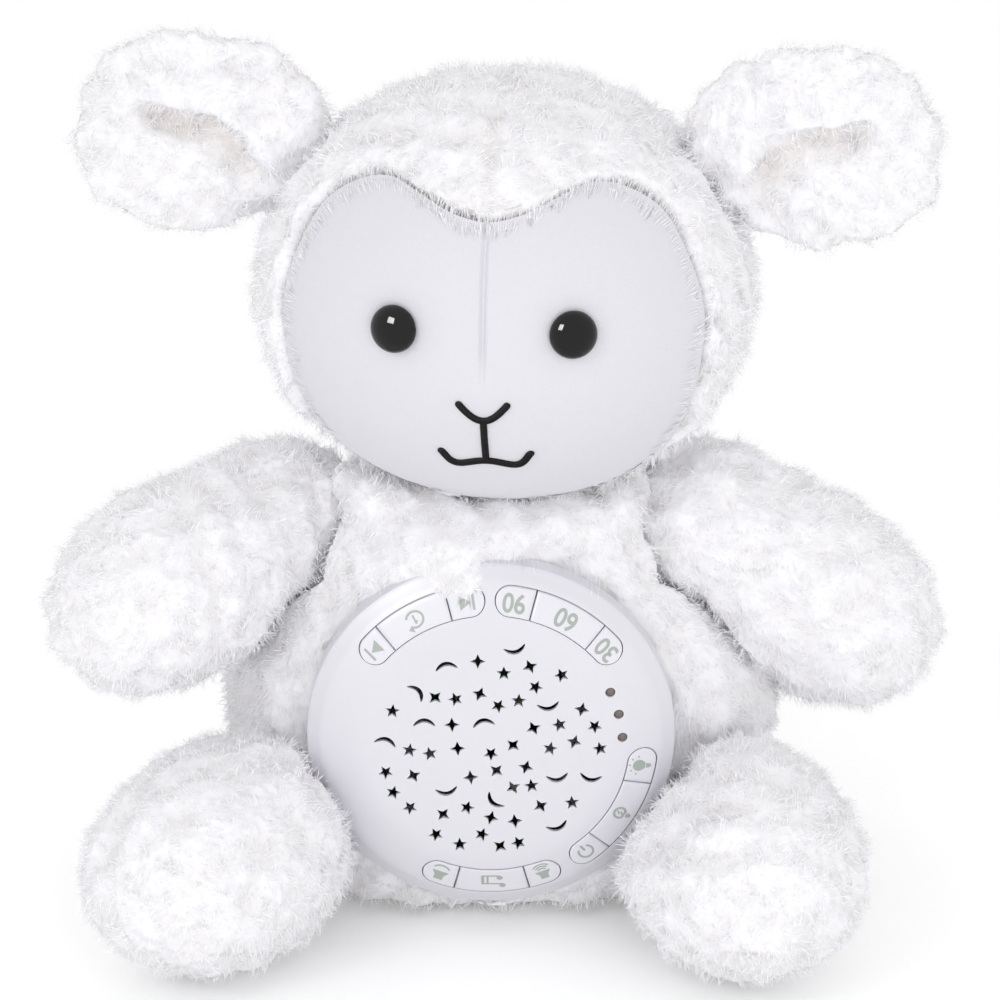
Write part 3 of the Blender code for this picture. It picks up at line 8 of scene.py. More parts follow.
import json
import math

import bmesh
import bpy
import numpy as np
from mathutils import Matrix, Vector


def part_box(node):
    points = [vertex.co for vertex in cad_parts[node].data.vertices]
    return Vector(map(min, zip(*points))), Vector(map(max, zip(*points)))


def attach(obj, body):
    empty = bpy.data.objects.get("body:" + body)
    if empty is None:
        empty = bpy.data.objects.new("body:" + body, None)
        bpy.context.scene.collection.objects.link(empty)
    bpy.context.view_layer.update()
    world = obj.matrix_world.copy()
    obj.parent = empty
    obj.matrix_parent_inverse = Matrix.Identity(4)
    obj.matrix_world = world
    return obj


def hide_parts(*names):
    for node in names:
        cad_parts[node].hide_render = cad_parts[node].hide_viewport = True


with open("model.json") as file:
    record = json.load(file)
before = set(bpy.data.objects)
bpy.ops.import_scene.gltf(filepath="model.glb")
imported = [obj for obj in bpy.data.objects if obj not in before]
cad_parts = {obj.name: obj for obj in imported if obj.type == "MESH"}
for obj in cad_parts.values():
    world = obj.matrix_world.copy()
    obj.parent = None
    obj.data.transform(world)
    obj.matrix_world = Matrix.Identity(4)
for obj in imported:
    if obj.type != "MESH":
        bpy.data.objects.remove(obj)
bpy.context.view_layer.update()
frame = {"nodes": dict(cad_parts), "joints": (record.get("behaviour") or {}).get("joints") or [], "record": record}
nodes = frame["nodes"]
MM = 0.001

# %% [markdown]
# ## The camera
# The photograph was taken from in front and a little above: the top of the disc's rim is seen as an
# ellipse whose height is 0.93 of its width, which is the cosine of about 20 degrees. A camera could be
# aimed by hand, but one that is turned round a target keeps its distance while the angle is tried.

# %% Camera
def looking(target, elevation, distance):
    """Place and turn of a camera that looks from -Y, raised round its target by an angle."""
    lift = math.radians(elevation)
    back = np.array((0.0, -math.cos(lift), math.sin(lift)))
    return np.array(target) + distance * back, (math.radians(90.0) - lift, 0.0, 0.0)


lens = bpy.data.cameras.new("camera")
lens.lens = 156.0
lens.sensor_width = 36.0
camera = bpy.data.objects.new("camera", lens)
bpy.context.scene.collection.objects.link(camera)
camera.location, camera.rotation_euler = looking((0.0027, -0.020, 0.130), elevation=20.5, distance=1.3)
bpy.context.scene.camera = camera
print("camera at", [round(v, 3) for v in camera.location])

# %% [markdown]
# ## Colours and nodes
# Colours are noted as sRGB hex values, as a paint chart or a screen shows them, but light adds up in
# linear values, so one function undoes the sRGB curve. A second one adds a shader node with its
# settings and links in a single call, which keeps each material short enough to read as a recipe.

# %% Helpers for materials
def linear(code):
    """The linear colour of an sRGB hex code: the sRGB curve undone in each channel."""
    shown = np.array([int(code[at : at + 2], 16) for at in (1, 3, 5)]) / 255.0
    low, high = shown / 12.92, ((shown + 0.055) / 1.055) ** 2.4
    return (*np.where(shown <= 0.04045, low, high).tolist(), 1.0)


def node(tree, kind, inputs=None, **properties):
    """Adds a node, sets its properties, and fills or links its inputs."""
    made = tree.nodes.new("ShaderNode" + kind)
    for name, value in properties.items():
        setattr(made, name, value)
    for name, value in (inputs or {}).items():
        if isinstance(value, bpy.types.NodeSocket):
            tree.links.new(value, made.inputs[name])
        else:
            made.inputs[name].default_value = value
    return made


def finish(name, colour, roughness, **constants):
    """A Principled material whose constants sit on the shader's own sockets."""
    made = bpy.data.materials.new(name)
    made.use_nodes = True
    shader = made.node_tree.nodes["Principled BSDF"]
    shader.inputs["Base Color"].default_value = linear(colour)
    shader.inputs["Roughness"].default_value = roughness
    for socket, value in constants.items():
        shader.inputs[socket.replace("_", " ")].default_value = value
    return made


def grained(name, colour, other, roughness, grain, relief, spread=0.06, **constants):
    """A finish with grain: noise of a real size mixes two colours, varies the gloss and is a relief."""
    made = finish(name, colour, roughness, **constants)
    tree = made.node_tree
    shader = tree.nodes["Principled BSDF"]
    place = node(tree, "TexCoord").outputs["Object"]
    noise = node(tree, "TexNoise", {"Vector": place, "Scale": 1.0 / grain, "Detail": 3.0}).outputs["Fac"]
    mixed = node(tree, "Mix", {"Factor": noise}, data_type="RGBA")
    mixed.inputs[6].default_value, mixed.inputs[7].default_value = linear(colour), linear(other)
    limits = {"To Min": roughness - spread, "To Max": roughness + spread}
    gloss = node(tree, "MapRange", {"Value": noise, **limits})
    bump = node(tree, "Bump", {"Height": noise, "Distance": relief, "Strength": 1.0})
    tree.links.new(mixed.outputs[2], shader.inputs["Base Color"])
    tree.links.new(gloss.outputs["Result"], shader.inputs["Roughness"])
    tree.links.new(bump.outputs["Normal"], shader.inputs["Normal"])
    return made


# %% [markdown]
# ## Floor, light and background
# The lamb stands on a white table in a studio with soft light from all round, so its shadows are pale.
# A large floor would show an edge against the background. Here the floor is a disc that fades out into
# the white of the world, and only the camera, mirrors and glass see that white at full strength: the
# light that falls on the object comes at its own, lower level. The floor glows for the camera by as
# much as the world's light lacks, so that only the lamb's shadow is darker than white. A broad lamp in
# front fills the folds, and a window, which is seen in glossy things only, puts a glint in the eyes.

# %% Stage
world = bpy.data.worlds.new("studio")
bpy.context.scene.world = world
world.use_nodes = True
sky = world.node_tree
WORLD_LIGHT = 0.83
seen = node(sky, "LightPath").outputs
straight = node(sky, "Math", {0: seen["Is Camera Ray"], 1: seen["Is Glossy Ray"]}, operation="MAXIMUM")
white = node(sky, "Math", {0: straight.outputs[0], 1: seen["Is Transmission Ray"]}, operation="MAXIMUM")
level = node(sky, "MapRange", {"Value": white.outputs[0], "To Min": WORLD_LIGHT, "To Max": 1.0})
back = sky.nodes["Background"]
back.inputs["Color"].default_value = linear("#FFFFFF")
sky.links.new(level.outputs["Result"], back.inputs["Strength"])

FLOOR_RADIUS, FADE_START, FADE_END = 0.75, 0.16, 0.42
table = bpy.data.materials.new("white_table")
table.use_nodes = True
tree = table.node_tree
spot = node(tree, "TexCoord").outputs["Object"]
far = node(tree, "VectorMath", {0: spot}, operation="LENGTH").outputs["Value"]
span = {"Value": far, "From Min": FADE_START, "From Max": FADE_END}
fade = node(tree, "MapRange", span, interpolation_type="SMOOTHSTEP")
by_camera = node(tree, "LightPath").outputs["Is Camera Ray"]
lift = node(tree, "Math", {0: by_camera, 1: 1.0 - WORLD_LIGHT}, operation="MULTIPLY").outputs[0]
glow = node(tree, "Emission", {"Color": linear("#FFFFFF"), "Strength": lift}).outputs[0]
diffuse = node(tree, "BsdfDiffuse", {"Color": linear("#FFFFFF")}).outputs[0]
paint = node(tree, "AddShader", {0: diffuse, 1: glow})
gone = node(tree, "BsdfTransparent")
blend = node(tree, "MixShader", {0: fade.outputs["Result"], 1: paint.outputs[0], 2: gone.outputs[0]})
tree.links.new(blend.outputs[0], tree.nodes["Material Output"].inputs["Surface"])
floor_turn = np.linspace(0.0, 2.0 * np.pi, 64, endpoint=False)
ring = FLOOR_RADIUS * np.stack((np.cos(floor_turn), np.sin(floor_turn), 0.0 * floor_turn), axis=-1)
floor_mesh = bpy.data.meshes.new("floor")
floor_mesh.from_pydata(ring, [], [range(len(ring))])
floor_mesh.materials.append(table)
floor = bpy.data.objects.new("floor", floor_mesh)
bpy.context.scene.collection.objects.link(floor)


def softbox(name, place, target, size, power):
    """A square area lamp that faces its target."""
    lamp = bpy.data.lights.new(name, "AREA")
    lamp.size = size
    lamp.energy = power
    made = bpy.data.objects.new(name, lamp)
    bpy.context.scene.collection.objects.link(made)
    away = np.array(place) - np.array(target)
    made.location = place
    level_away = math.hypot(away[0], away[1])
    made.rotation_euler = (math.atan2(level_away, away[2]), 0.0, math.atan2(away[0], -away[1]))
    return made


softbox("key_light", (-0.80, -1.25, 1.05), (0.0, 0.0, 0.12), 0.30, 1.8)
fill = softbox("fill_light", (0.20, -1.75, 0.30), (0.0, 0.0, 0.12), 1.5, 9.5)
fill.visible_glossy = False
window_light = softbox("window_light", (-0.95, -1.15, 1.05), (0.0, 0.0, 0.2), 0.65, 34.0)
window_light.visible_diffuse = False
bpy.context.scene.view_settings.view_transform = "Standard"
print("world light", WORLD_LIGHT)

# %% [markdown]
# ## Surfaces from arrays
# Every new shape here is a grid of points: one direction runs along the piece and the other round it.
# numpy works out all points at once, and the mesh gets one quad between each four neighbours. Where a
# whole row falls together in one point, a pole, merging the doubles closes it.

# %% Helpers for meshes
def gridded(points, round_rows=False, round_columns=False):
    """The points of a grid as a list, and its quads. A round direction joins its end to its start."""
    rows, columns = points.shape[:2]
    index = np.arange(rows * columns).reshape(rows, columns)
    if round_rows:
        index = np.vstack((index, index[:1]))
    if round_columns:
        index = np.hstack((index, index[:, :1]))
    quads = np.stack((index[:-1, :-1], index[:-1, 1:], index[1:, 1:], index[1:, :-1]), axis=-1)
    return points.reshape(-1, 3), quads.reshape(-1, 4)


def heaped(grids):
    """Several lists of points and quads as one."""
    starts = np.cumsum([0] + [len(points) for points, quads in grids[:-1]])
    quads = [quads + start for (points, quads), start in zip(grids, starts)]
    return np.concatenate([points for points, quads in grids]), np.concatenate(quads)


def meshed(name, points, quads, weld=1e-6):
    """A closed mesh: doubles are merged and the faces turned outwards."""
    mesh = bpy.data.meshes.new(name)
    mesh.from_pydata(points, [], quads)
    bm = bmesh.new()
    bm.from_mesh(mesh)
    bmesh.ops.remove_doubles(bm, verts=bm.verts, dist=weld)
    bmesh.ops.dissolve_degenerate(bm, edges=bm.edges, dist=weld)
    bmesh.ops.recalc_face_normals(bm, faces=bm.faces)
    bm.to_mesh(mesh)
    bm.free()
    return mesh


def piece(name, mesh, body, material, sharp=None, replaces=()):
    """Shows a mesh as a piece of the lamb that moves with a body."""
    made = bpy.data.objects.new(name, mesh)
    bpy.context.scene.collection.objects.link(made)
    if material:
        mesh.materials.clear()
        mesh.materials.append(material)
    if sharp:
        mesh.shade_smooth()
        mesh.set_sharp_from_angle(angle=math.radians(sharp))
    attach(made, body)
    if replaces:
        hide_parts(*replaces)
    return made


def places_of(mesh):
    places = np.empty(len(mesh.vertices) * 3)
    mesh.vertices.foreach_get("co", places)
    return places.reshape(-1, 3)


def normals_of(mesh):
    normals = np.empty(len(mesh.vertices) * 3)
    mesh.vertex_normals.foreach_get("vector", normals)
    return normals.reshape(-1, 3)


def turned(profile, steps=96):
    """A profile of radii and heights carried once round the Z axis."""
    angles = np.linspace(0.0, 2.0 * np.pi, steps, endpoint=False)
    radius, height = np.array(profile).T
    across = radius[:, None] * np.cos(angles)
    up = radius[:, None] * np.sin(angles)
    return np.stack((across, up, np.broadcast_to(height[:, None], across.shape)), axis=-1)


# %% [markdown]
# ## The module's shape
# The cover of the module is an injection-moulded dome: flat in the middle, sloping where the buttons
# sit, and rounded down to its rim. A drawing of straight lines would show hard rings, so the height at
# each radius is the mean of the straight profile over six millimetres, as a mould's blends make it.

# %% The cover's profile
cover_low, cover_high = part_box("front_cover")
DISC_RADIUS = (cover_high.x - cover_low.x) / 2
DISC_RISE = 0.011
RIM_PLACE = np.array(
    ((cover_low.x + cover_high.x) / 2, cover_low.y + DISC_RISE, (cover_low.z + cover_high.z) / 2)
)
COVER_WALL, STAR_WALL = 0.0021, 0.0012
GAP = 0.0003
PROFILE_SHARES = np.array(((0.0, 1.0), (0.68, 1.0), (0.735, 0.955), (0.93, 0.60), (0.985, 0.38), (1.0, 0.16)))
BLEND = 0.0030


def cover_height(radius):
    """Height of the cover's face at a radius: the straight profile, averaged over a short blend."""
    offsets = np.linspace(-BLEND, BLEND, 9)
    near = np.abs(np.asarray(radius)[..., None] + offsets)
    shares, rises = PROFILE_SHARES.T
    return DISC_RISE * np.interp(near / DISC_RADIUS, shares, rises).mean(axis=-1)


def out_of_belly(points):
    """Turns points drawn on the module, across, up and out, to where they are on the lamb."""
    across, up, out = np.moveaxis(np.asarray(points), -1, 0)
    return RIM_PLACE + np.stack((across, -out, up), axis=-1)


print("disc radius in mm:", round(DISC_RADIUS / MM, 1))

# %% [markdown]
# ## Bands, stars and moons
# Four curved bands round the disc hold three buttons each, and some fifty small stars and moons let
# the light out. Each opening is a flat outline pushed through the wall. A band is a bar bent round the
# disc's centre whose ends are half circles; a star's outline swings between two radii; a moon is an
# arch between two parabolas.

# %% Outlines
BAND_INNER, BAND_OUTER = 0.745 * DISC_RADIUS, 0.91 * DISC_RADIUS
BAND_MIDDLE, BAND_HALF = (BAND_INNER + BAND_OUTER) / 2, (BAND_OUTER - BAND_INNER) / 2
BANDS = {
    (92.0, 145.0): {"next": (92.0, 106.0), "repeat": (106.0, 133.0), "previous": (133.0, 145.0)},
    (35.0, 88.6): {"timer_30": (35.0, 47.5), "timer_60": (47.5, 74.0), "timer_90": (74.0, 88.6)},
    (-58.0, -2.0): {"power": (-58.0, -44.5), "dim": (-44.5, -16.5), "bright": (-16.5, -2.0)},
    (-116.6, -63.0): {"volume_down": (-116.6, -103.0), "song": (-103.0, -76.5), "volume_up": (-76.5, -63.0)},
}


def along_band(start, end, trim=0.0, round_start=True, round_end=True):
    """Angles along a band and the half width at each: full between the ends, a half circle at a round end."""
    half = BAND_HALF - trim
    quarter = np.linspace(0.0, np.pi / 2, 10)
    reach = BAND_HALF / BAND_MIDDLE
    edge = 0.5 * trim / BAND_MIDDLE
    first = math.radians(start) + (reach if round_start else edge)
    last = math.radians(end) - (reach if round_end else edge)
    angles = np.linspace(first, last, max(4, int((last - first) / math.radians(1.5))))
    widths = np.full(len(angles), half)
    if round_start:
        angles = np.concatenate((first - half / BAND_MIDDLE * np.cos(quarter[:-1]), angles))
        widths = np.concatenate((half * np.sin(quarter[:-1]), widths))
    if round_end:
        angles = np.concatenate((angles, last + half / BAND_MIDDLE * np.cos(quarter[-2::-1])))
        widths = np.concatenate((widths, half * np.sin(quarter[-2::-1])))
    return angles, widths


def star_outline(points, radius, waist, place, turn):
    """Corners at two radii in turn, the outer ones at the star's points."""
    angles = math.radians(turn) + np.pi * np.arange(2 * points) / points
    radii = np.where(np.arange(2 * points) % 2, waist, 1.0) * radius
    return np.array(place) + radii[:, None] * np.stack((np.cos(angles), np.sin(angles)), axis=-1)


def moon_outline(length, rise, thickness, place, turn):
    """Out along one side of a parabola and back along the other; it thins only close to its ends."""
    share = np.sin(np.linspace(-np.pi / 2, np.pi / 2, 15))
    middle = (0.5 - share**2) * rise
    half = thickness / 2 * np.sqrt(1.0 - share**4)
    x = np.concatenate((share, share[-2:0:-1])) * length / 2
    y = np.concatenate((middle + half, (middle - half)[-2:0:-1]))
    c, s = math.cos(math.radians(turn)), math.sin(math.radians(turn))
    return np.array(place) + np.stack((x * c - y * s, x * s + y * c), axis=-1)


def rod(outline, foot, head):
    """A flat outline pushed from its foot to its head and closed by a fan at each end."""
    middle = np.broadcast_to(outline.mean(axis=0), outline.shape)
    rows = [(middle, foot), (outline, foot), (outline, head), (middle, head)]
    points = [np.column_stack((flat, np.full(len(flat), height))) for flat, height in rows]
    return gridded(np.array(points), round_columns=True)


def bent_bar(angles, widths, section):
    """A closed section of shares of the half width and heights, carried along a band."""
    share, height = np.array(section).T
    radius = BAND_MIDDLE + widths[:, None] * share
    x, y = radius * np.cos(angles)[:, None], radius * np.sin(angles)[:, None]
    return np.stack((x, y, np.broadcast_to(height, x.shape)), axis=-1)


def capped(points):
    """Closes the two ends of a bar: a first and last row drawn together in their own middle."""
    first, last = points[:1].mean(axis=1, keepdims=True), points[-1:].mean(axis=1, keepdims=True)
    wide = np.ones((1, points.shape[1], 1))
    return np.concatenate((first * wide, points, last * wide))


# %% [markdown]
# ## The cover
# Stars of five points, sparks of four and moons are spread over the middle of the disc. Their places
# are noted as shares of its radius. The cover could be kept from the CAD, but its rim and openings
# have few sides there. So it is turned again with 180 steps, and all openings are cut at once by an
# exact Boolean, which keeps their edges crisp, as a steel mould does. Behind the stars the wall is
# thinner, so that they look dark and their light can spread.

# %% Openings and cover
FIVE_POINTS = (
    (0.07, 0.42), (0.38, 0.41), (0.24, 0.34), (0.15, 0.26), (-0.19, 0.27), (0.04, 0.23),
    (-0.53, 0.20), (0.37, 0.12), (0.56, 0.11), (-0.44, -0.03), (-0.33, -0.05), (0.0, -0.05),
    (0.32, -0.02), (0.59, -0.02), (-0.57, -0.16), (-0.53, -0.28), (0.22, -0.24), (-0.44, -0.37),
    (-0.13, -0.37), (0.44, -0.34), (-0.30, -0.53), (-0.05, -0.53), (-0.17, -0.59), (0.15, -0.58),
)
FOUR_POINTS = (
    (-0.07, 0.49), (0.21, 0.46), (-0.30, 0.28), (-0.06, 0.30), (-0.21, 0.12), (0.23, 0.10),
    (0.12, 0.0), (0.45, 0.02), (-0.18, -0.02), (-0.42, -0.18), (0.03, -0.15), (0.19, -0.13),
    (-0.11, -0.19), (0.12, -0.25), (-0.26, -0.41), (0.0, -0.43), (0.13, -0.45), (0.27, -0.36),
    (0.05, -0.60), (0.49, 0.21),
)
MOONS = {
    (0.13, 0.56): 195.0, (-0.24, 0.46): 10.0, (-0.40, 0.31): -50.0, (-0.36, 0.13): 0.0,
    (-0.04, 0.13): 10.0, (0.31, 0.23): 190.0, (-0.57, 0.02): -15.0, (0.36, -0.19): 190.0,
    (0.54, -0.19): 170.0, (-0.24, -0.27): 190.0, (0.02, -0.33): 135.0, (0.36, -0.48): 200.0,
}
WINDOW_ANGLES = (3.5, 14.5, 25.5)
WINDOW_CIRCLE, WINDOW_RADIUS = 0.712 * DISC_RADIUS, 0.0015

# Each star is turned on from the one before, so that no two neighbours look alike
STAR_TURN = 23.0
FIVE_RADIUS, FIVE_WAIST = 0.00235, 0.44
FOUR_RADIUS, FOUR_WAIST = 0.0024, 0.42
MOON_LENGTH, MOON_RISE, MOON_THICK = 0.0066, 0.0018, 0.0014
outlines = [
    star_outline(5, FIVE_RADIUS, FIVE_WAIST, np.array(at) * DISC_RADIUS, 90.0 + STAR_TURN * n)
    for n, at in enumerate(FIVE_POINTS)
]
outlines += [
    star_outline(4, FOUR_RADIUS, FOUR_WAIST, np.array(at) * DISC_RADIUS, STAR_TURN * n)
    for n, at in enumerate(FOUR_POINTS)
]
outlines += [
    moon_outline(MOON_LENGTH, MOON_RISE, MOON_THICK, np.array(at) * DISC_RADIUS, turn)
    for at, turn in MOONS.items()
]
round_turn = np.linspace(0.0, 2.0 * np.pi, 24, endpoint=False)
circle = np.stack((np.cos(round_turn), np.sin(round_turn)), axis=-1)
window_places = [
    WINDOW_CIRCLE * np.array((math.cos(math.radians(a)), math.sin(math.radians(a)))) for a in WINDOW_ANGLES
]
outlines += [place + WINDOW_RADIUS * circle for place in window_places]
CUT_FOOT, BAND_FOOT, CUT_HEAD = 0.002, 0.0006, 0.016
cutters = [rod(outline, CUT_FOOT, CUT_HEAD) for outline in outlines]
for start, end in BANDS:
    angles, widths = along_band(start, end)
    section = ((-1.0, BAND_FOOT), (1.0, BAND_FOOT), (1.0, CUT_HEAD), (-1.0, CUT_HEAD))
    cutters.append(gridded(capped(bent_bar(angles, widths, section)), round_columns=True))
cutter_points, cutter_quads = heaped(cutters)
cutter = bpy.data.objects.new("openings", meshed("openings", cutter_points, cutter_quads))
bpy.context.scene.collection.objects.link(cutter)

radii = DISC_RADIUS * np.concatenate((np.linspace(0.0, 0.64, 9), np.linspace(0.66, 0.99, 28)))
face_profile = np.column_stack((radii, cover_height(radii)))
rim_turn = np.radians(np.linspace(15.0, 90.0, 6))
RIM_ROUND, SKIRT_FOOT, SKIRT_WALL = 0.0009, -0.004, 0.0017
rim_top = cover_height(0.99 * DISC_RADIUS) - RIM_ROUND
rim = np.column_stack(
    (DISC_RADIUS - RIM_ROUND * (1.0 - np.sin(rim_turn)), rim_top + RIM_ROUND * np.cos(rim_turn) * 0.8)
)
inner_radii = radii[radii < 0.93 * DISC_RADIUS][::-1]
wall = np.where(inner_radii < 0.645 * DISC_RADIUS, STAR_WALL, COVER_WALL)
skirt_inner = DISC_RADIUS - SKIRT_WALL
cover_profile = np.concatenate(
    (
        face_profile,
        rim,
        ((DISC_RADIUS, SKIRT_FOOT), (skirt_inner, SKIRT_FOOT), (skirt_inner, GAP), (0.96 * DISC_RADIUS, GAP)),
        ((0.945 * DISC_RADIUS, cover_height(0.945 * DISC_RADIUS) - COVER_WALL),),
        np.column_stack((inner_radii, cover_height(inner_radii) - wall)),
    )
)
cover_points, cover_quads = gridded(turned(cover_profile, 180), round_columns=True)
cover = bpy.data.objects.new("cover_blank", meshed("cover_blank", cover_points, cover_quads))
bpy.context.scene.collection.objects.link(cover)
boolean = cover.modifiers.new("openings", "BOOLEAN")
boolean.operation, boolean.solver, boolean.object = "DIFFERENCE", "EXACT", cutter
cut_mesh = bpy.data.meshes.new_from_object(cover.evaluated_get(bpy.context.evaluated_depsgraph_get()))
cut_mesh.vertices.foreach_set("co", out_of_belly(places_of(cut_mesh)).ravel())
bpy.data.objects.remove(cover)
bpy.data.objects.remove(cutter)
print("openings:", len(outlines), "cover faces:", len(cut_mesh.polygons))

# %% [markdown]
# ## Moulded plastic
# The cover and the buttons are ABS with a fine spark-eroded surface, white with a hint of lilac. The
# mould's texture, grains of some 0.1 mm, spreads its gloss to a soft sheen. A grain that fine can't be
# resolved here, so it is drawn at 0.35 mm with a relief of a few micrometres, and mixes two close
# tones. ABS has an IOR of about 1.53, which is lowered to 1.45 here, because the photo shows less gloss.

# %% Plastics
cover_abs = grained("satin_white_abs", "#DFDEE4", "#DCDBE2", 0.42, 0.35 * MM, 0.004 * MM, IOR=1.45)
key_abs = grained("satin_white_key_abs", "#E3E2E8", "#E0DFE6", 0.40, 0.35 * MM, 0.004 * MM, IOR=1.45)
print_ink = grained("grey_pad_print", "#A3ABA4", "#ABB3AC", 0.55, 0.5 * MM, 0.003 * MM)
smoked = grained("smoked_lamp_lens", "#7D736C", "#6E655F", 0.18, 1.2 * MM, 0.002 * MM, IOR=1.49)
piece("disc_cover", cut_mesh, "body", cover_abs, sharp=38.0, replaces=["front_cover"])

# %% [markdown]
# ## The buttons
# Each button is a small bar that follows its band, stands 0.45 mm proud of the cover and has rounded
# upper edges, and a wider foot under the cover keeps it in. Its section is carried along the band, and
# near a round end it narrows as a half circle does.

# %% Keys
KEY_PROUD, KEY_FOOT, KEY_LIP, KEY_EDGE = 0.00045, 0.0029, 0.0009, 0.00035


def key_points(start, end, round_start, round_end):
    """A key as a bar: foot, lip, wall, rounded edge and a top that follows the cover's slope."""
    angles, widths = along_band(start, end, GAP, round_start, round_end)
    flat = 0.15 * GAP / BAND_MIDDLE
    if not round_start:
        angles = np.insert(angles, 1, angles[0] + KEY_EDGE / BAND_MIDDLE)
        widths = np.insert(widths, 0, widths[0])
        angles[0] += flat
    if not round_end:
        angles = np.insert(angles, -1, angles[-1] - KEY_EDGE / BAND_MIDDLE)
        widths = np.append(widths, widths[-1])
        angles[-1] -= flat
    lowered = np.zeros(len(angles))
    lowered[0 if not round_start else slice(0, 0)] = KEY_EDGE
    lowered[-1 if not round_end else slice(0, 0)] = KEY_EDGE
    bend = np.linspace(0.0, np.pi / 2, 5)
    edge = np.minimum(KEY_EDGE, widths)[:, None]
    rounded = widths[:, None] - edge * (1.0 - np.cos(bend))
    drop = edge * (1.0 - np.sin(bend))
    top = np.linspace(1.0, -1.0, 9)[1:-1] * (widths[:, None] - edge)
    span = np.concatenate((rounded, top, -rounded[:, ::-1]), axis=1)
    fall = np.concatenate((drop, np.zeros(top.shape), drop[:, ::-1]), axis=1)
    radius = BAND_MIDDLE + span
    height = cover_height(radius) + KEY_PROUD - np.maximum(fall, lowered[:, None])
    wide = np.minimum(widths + KEY_LIP, widths * 4.0)[:, None]
    lip_radius = BAND_MIDDLE + np.concatenate((-wide, -wide, wide, wide), axis=1)
    under = cover_height(lip_radius) - COVER_WALL - GAP
    foot = np.full((len(angles), 1), KEY_FOOT)
    lip_height = np.concatenate((under[:, :1], foot, foot, under[:, 3:]), axis=1)
    inner = BAND_MIDDLE - widths[:, None]
    outer = BAND_MIDDLE + widths[:, None]
    radius = np.concatenate((inner, lip_radius, outer, radius), axis=1)
    height = np.concatenate((under[:, :1], lip_height, under[:, 3:], height), axis=1)
    x, y = radius * np.cos(angles)[:, None], radius * np.sin(angles)[:, None]
    return np.stack((x, y, height), axis=-1)


key_middles = {}
for (band_start, band_end), keys in BANDS.items():
    for name, (start, end) in keys.items():
        bar = key_points(start, end, start == band_start, end == band_end)
        points, quads = gridded(capped(bar), round_columns=True)
        mesh = meshed(name + "_key", out_of_belly(points), quads)
        piece(name + "_key", mesh, name + "_button", key_abs, 50.0, [name + "_button"])
        key_middles[name] = (start + end) / 2
print("keys:", len(key_middles))

# %% [markdown]
# ## The printed marks
# The marks are pad printed in grey-green: numbers for the timer, arrows, a loop, bulbs, a power sign,
# speakers and notes. They read from above, by whoever holds the lamb, so the viewer sees them upside
# down. Each is drawn flat, with up towards the disc's centre, from strokes of even width and filled
# shapes, and is then laid on the slope of its key, 0.05 mm proud.

# %% Marks
def stroke(path, width):
    """A flat bar of even width along a path: each point is set off to both sides of the way ahead."""
    path = np.array(path, float)
    ahead = np.gradient(path, axis=0)
    side = np.stack((-ahead[:, 1], ahead[:, 0]), axis=-1)
    side *= width / 2 / np.linalg.norm(side, axis=1, keepdims=True)
    ends = np.stack((path - side, path + side, path + side, path - side), axis=1)
    layer = np.broadcast_to((0.0, 0.0, 1.0, 1.0), ends.shape[:2])
    return gridded(capped(np.dstack((ends, layer))), round_columns=True)


def bow(radius, start, end, centre=(0.0, 0.0), flat=1.0, steps=20):
    """Points on an arc, in degrees, that may be flattened upwards."""
    angles = np.radians(np.linspace(start, end, steps))
    return np.array(centre) + radius * np.stack((np.cos(angles), flat * np.sin(angles)), axis=-1)


def filled(outline):
    return rod(np.array(outline, float), 0.0, 1.0)


def numerals(text, size):
    """Digits of the built-in font, as flat plates centred on their place."""
    curve = bpy.data.curves.new(text, "FONT")
    curve.body, curve.size, curve.align_x, curve.align_y = text, size, "CENTER", "CENTER"
    curve.extrude = 0.5
    curve.offset = 0.02 * size
    drawn = bpy.data.objects.new(text, curve)
    bpy.context.scene.collection.objects.link(drawn)
    mesh = bpy.data.meshes.new_from_object(drawn.evaluated_get(bpy.context.evaluated_depsgraph_get()))
    bpy.data.objects.remove(drawn)
    points = places_of(mesh) * (0.92, 1.0, 1.0) + (0.0, 0.0, 0.5)
    return points, [tuple(face.vertices) for face in mesh.polygons]


LINE = 0.55
bulb = np.concatenate((bow(1.25, -38.0, 218.0, (0.0, 0.55)), ((-0.62, -0.75), (0.62, -0.75))))
socket = ((-0.5, -0.9), (0.5, -0.9), (0.5, -1.5), (0.25, -2.0), (-0.25, -2.0), (-0.5, -1.5))
speaker = ((-1.6, 0.55), (1.6, 0.55), (0.85, -0.55), (0.85, -1.45), (-0.85, -1.45), (-0.85, -0.55))
ray_ways = [np.array((math.cos(a), math.sin(a))) for a in np.radians((10.0, 50.0, 90.0, 130.0, 170.0))]
rays = [stroke([(0.0, 0.55) + 1.75 * way, (0.0, 0.55) + 2.15 * way], 0.3) for way in ray_ways]
hook = np.concatenate((bow(1.2, -50.0, 230.0, (0.0, 0.5)), bow(1.2, -50.0, -49.0, (0.0, 0.5), steps=2)))
loop = bow(1.7, -25.0, -305.0, flat=0.85, steps=36)
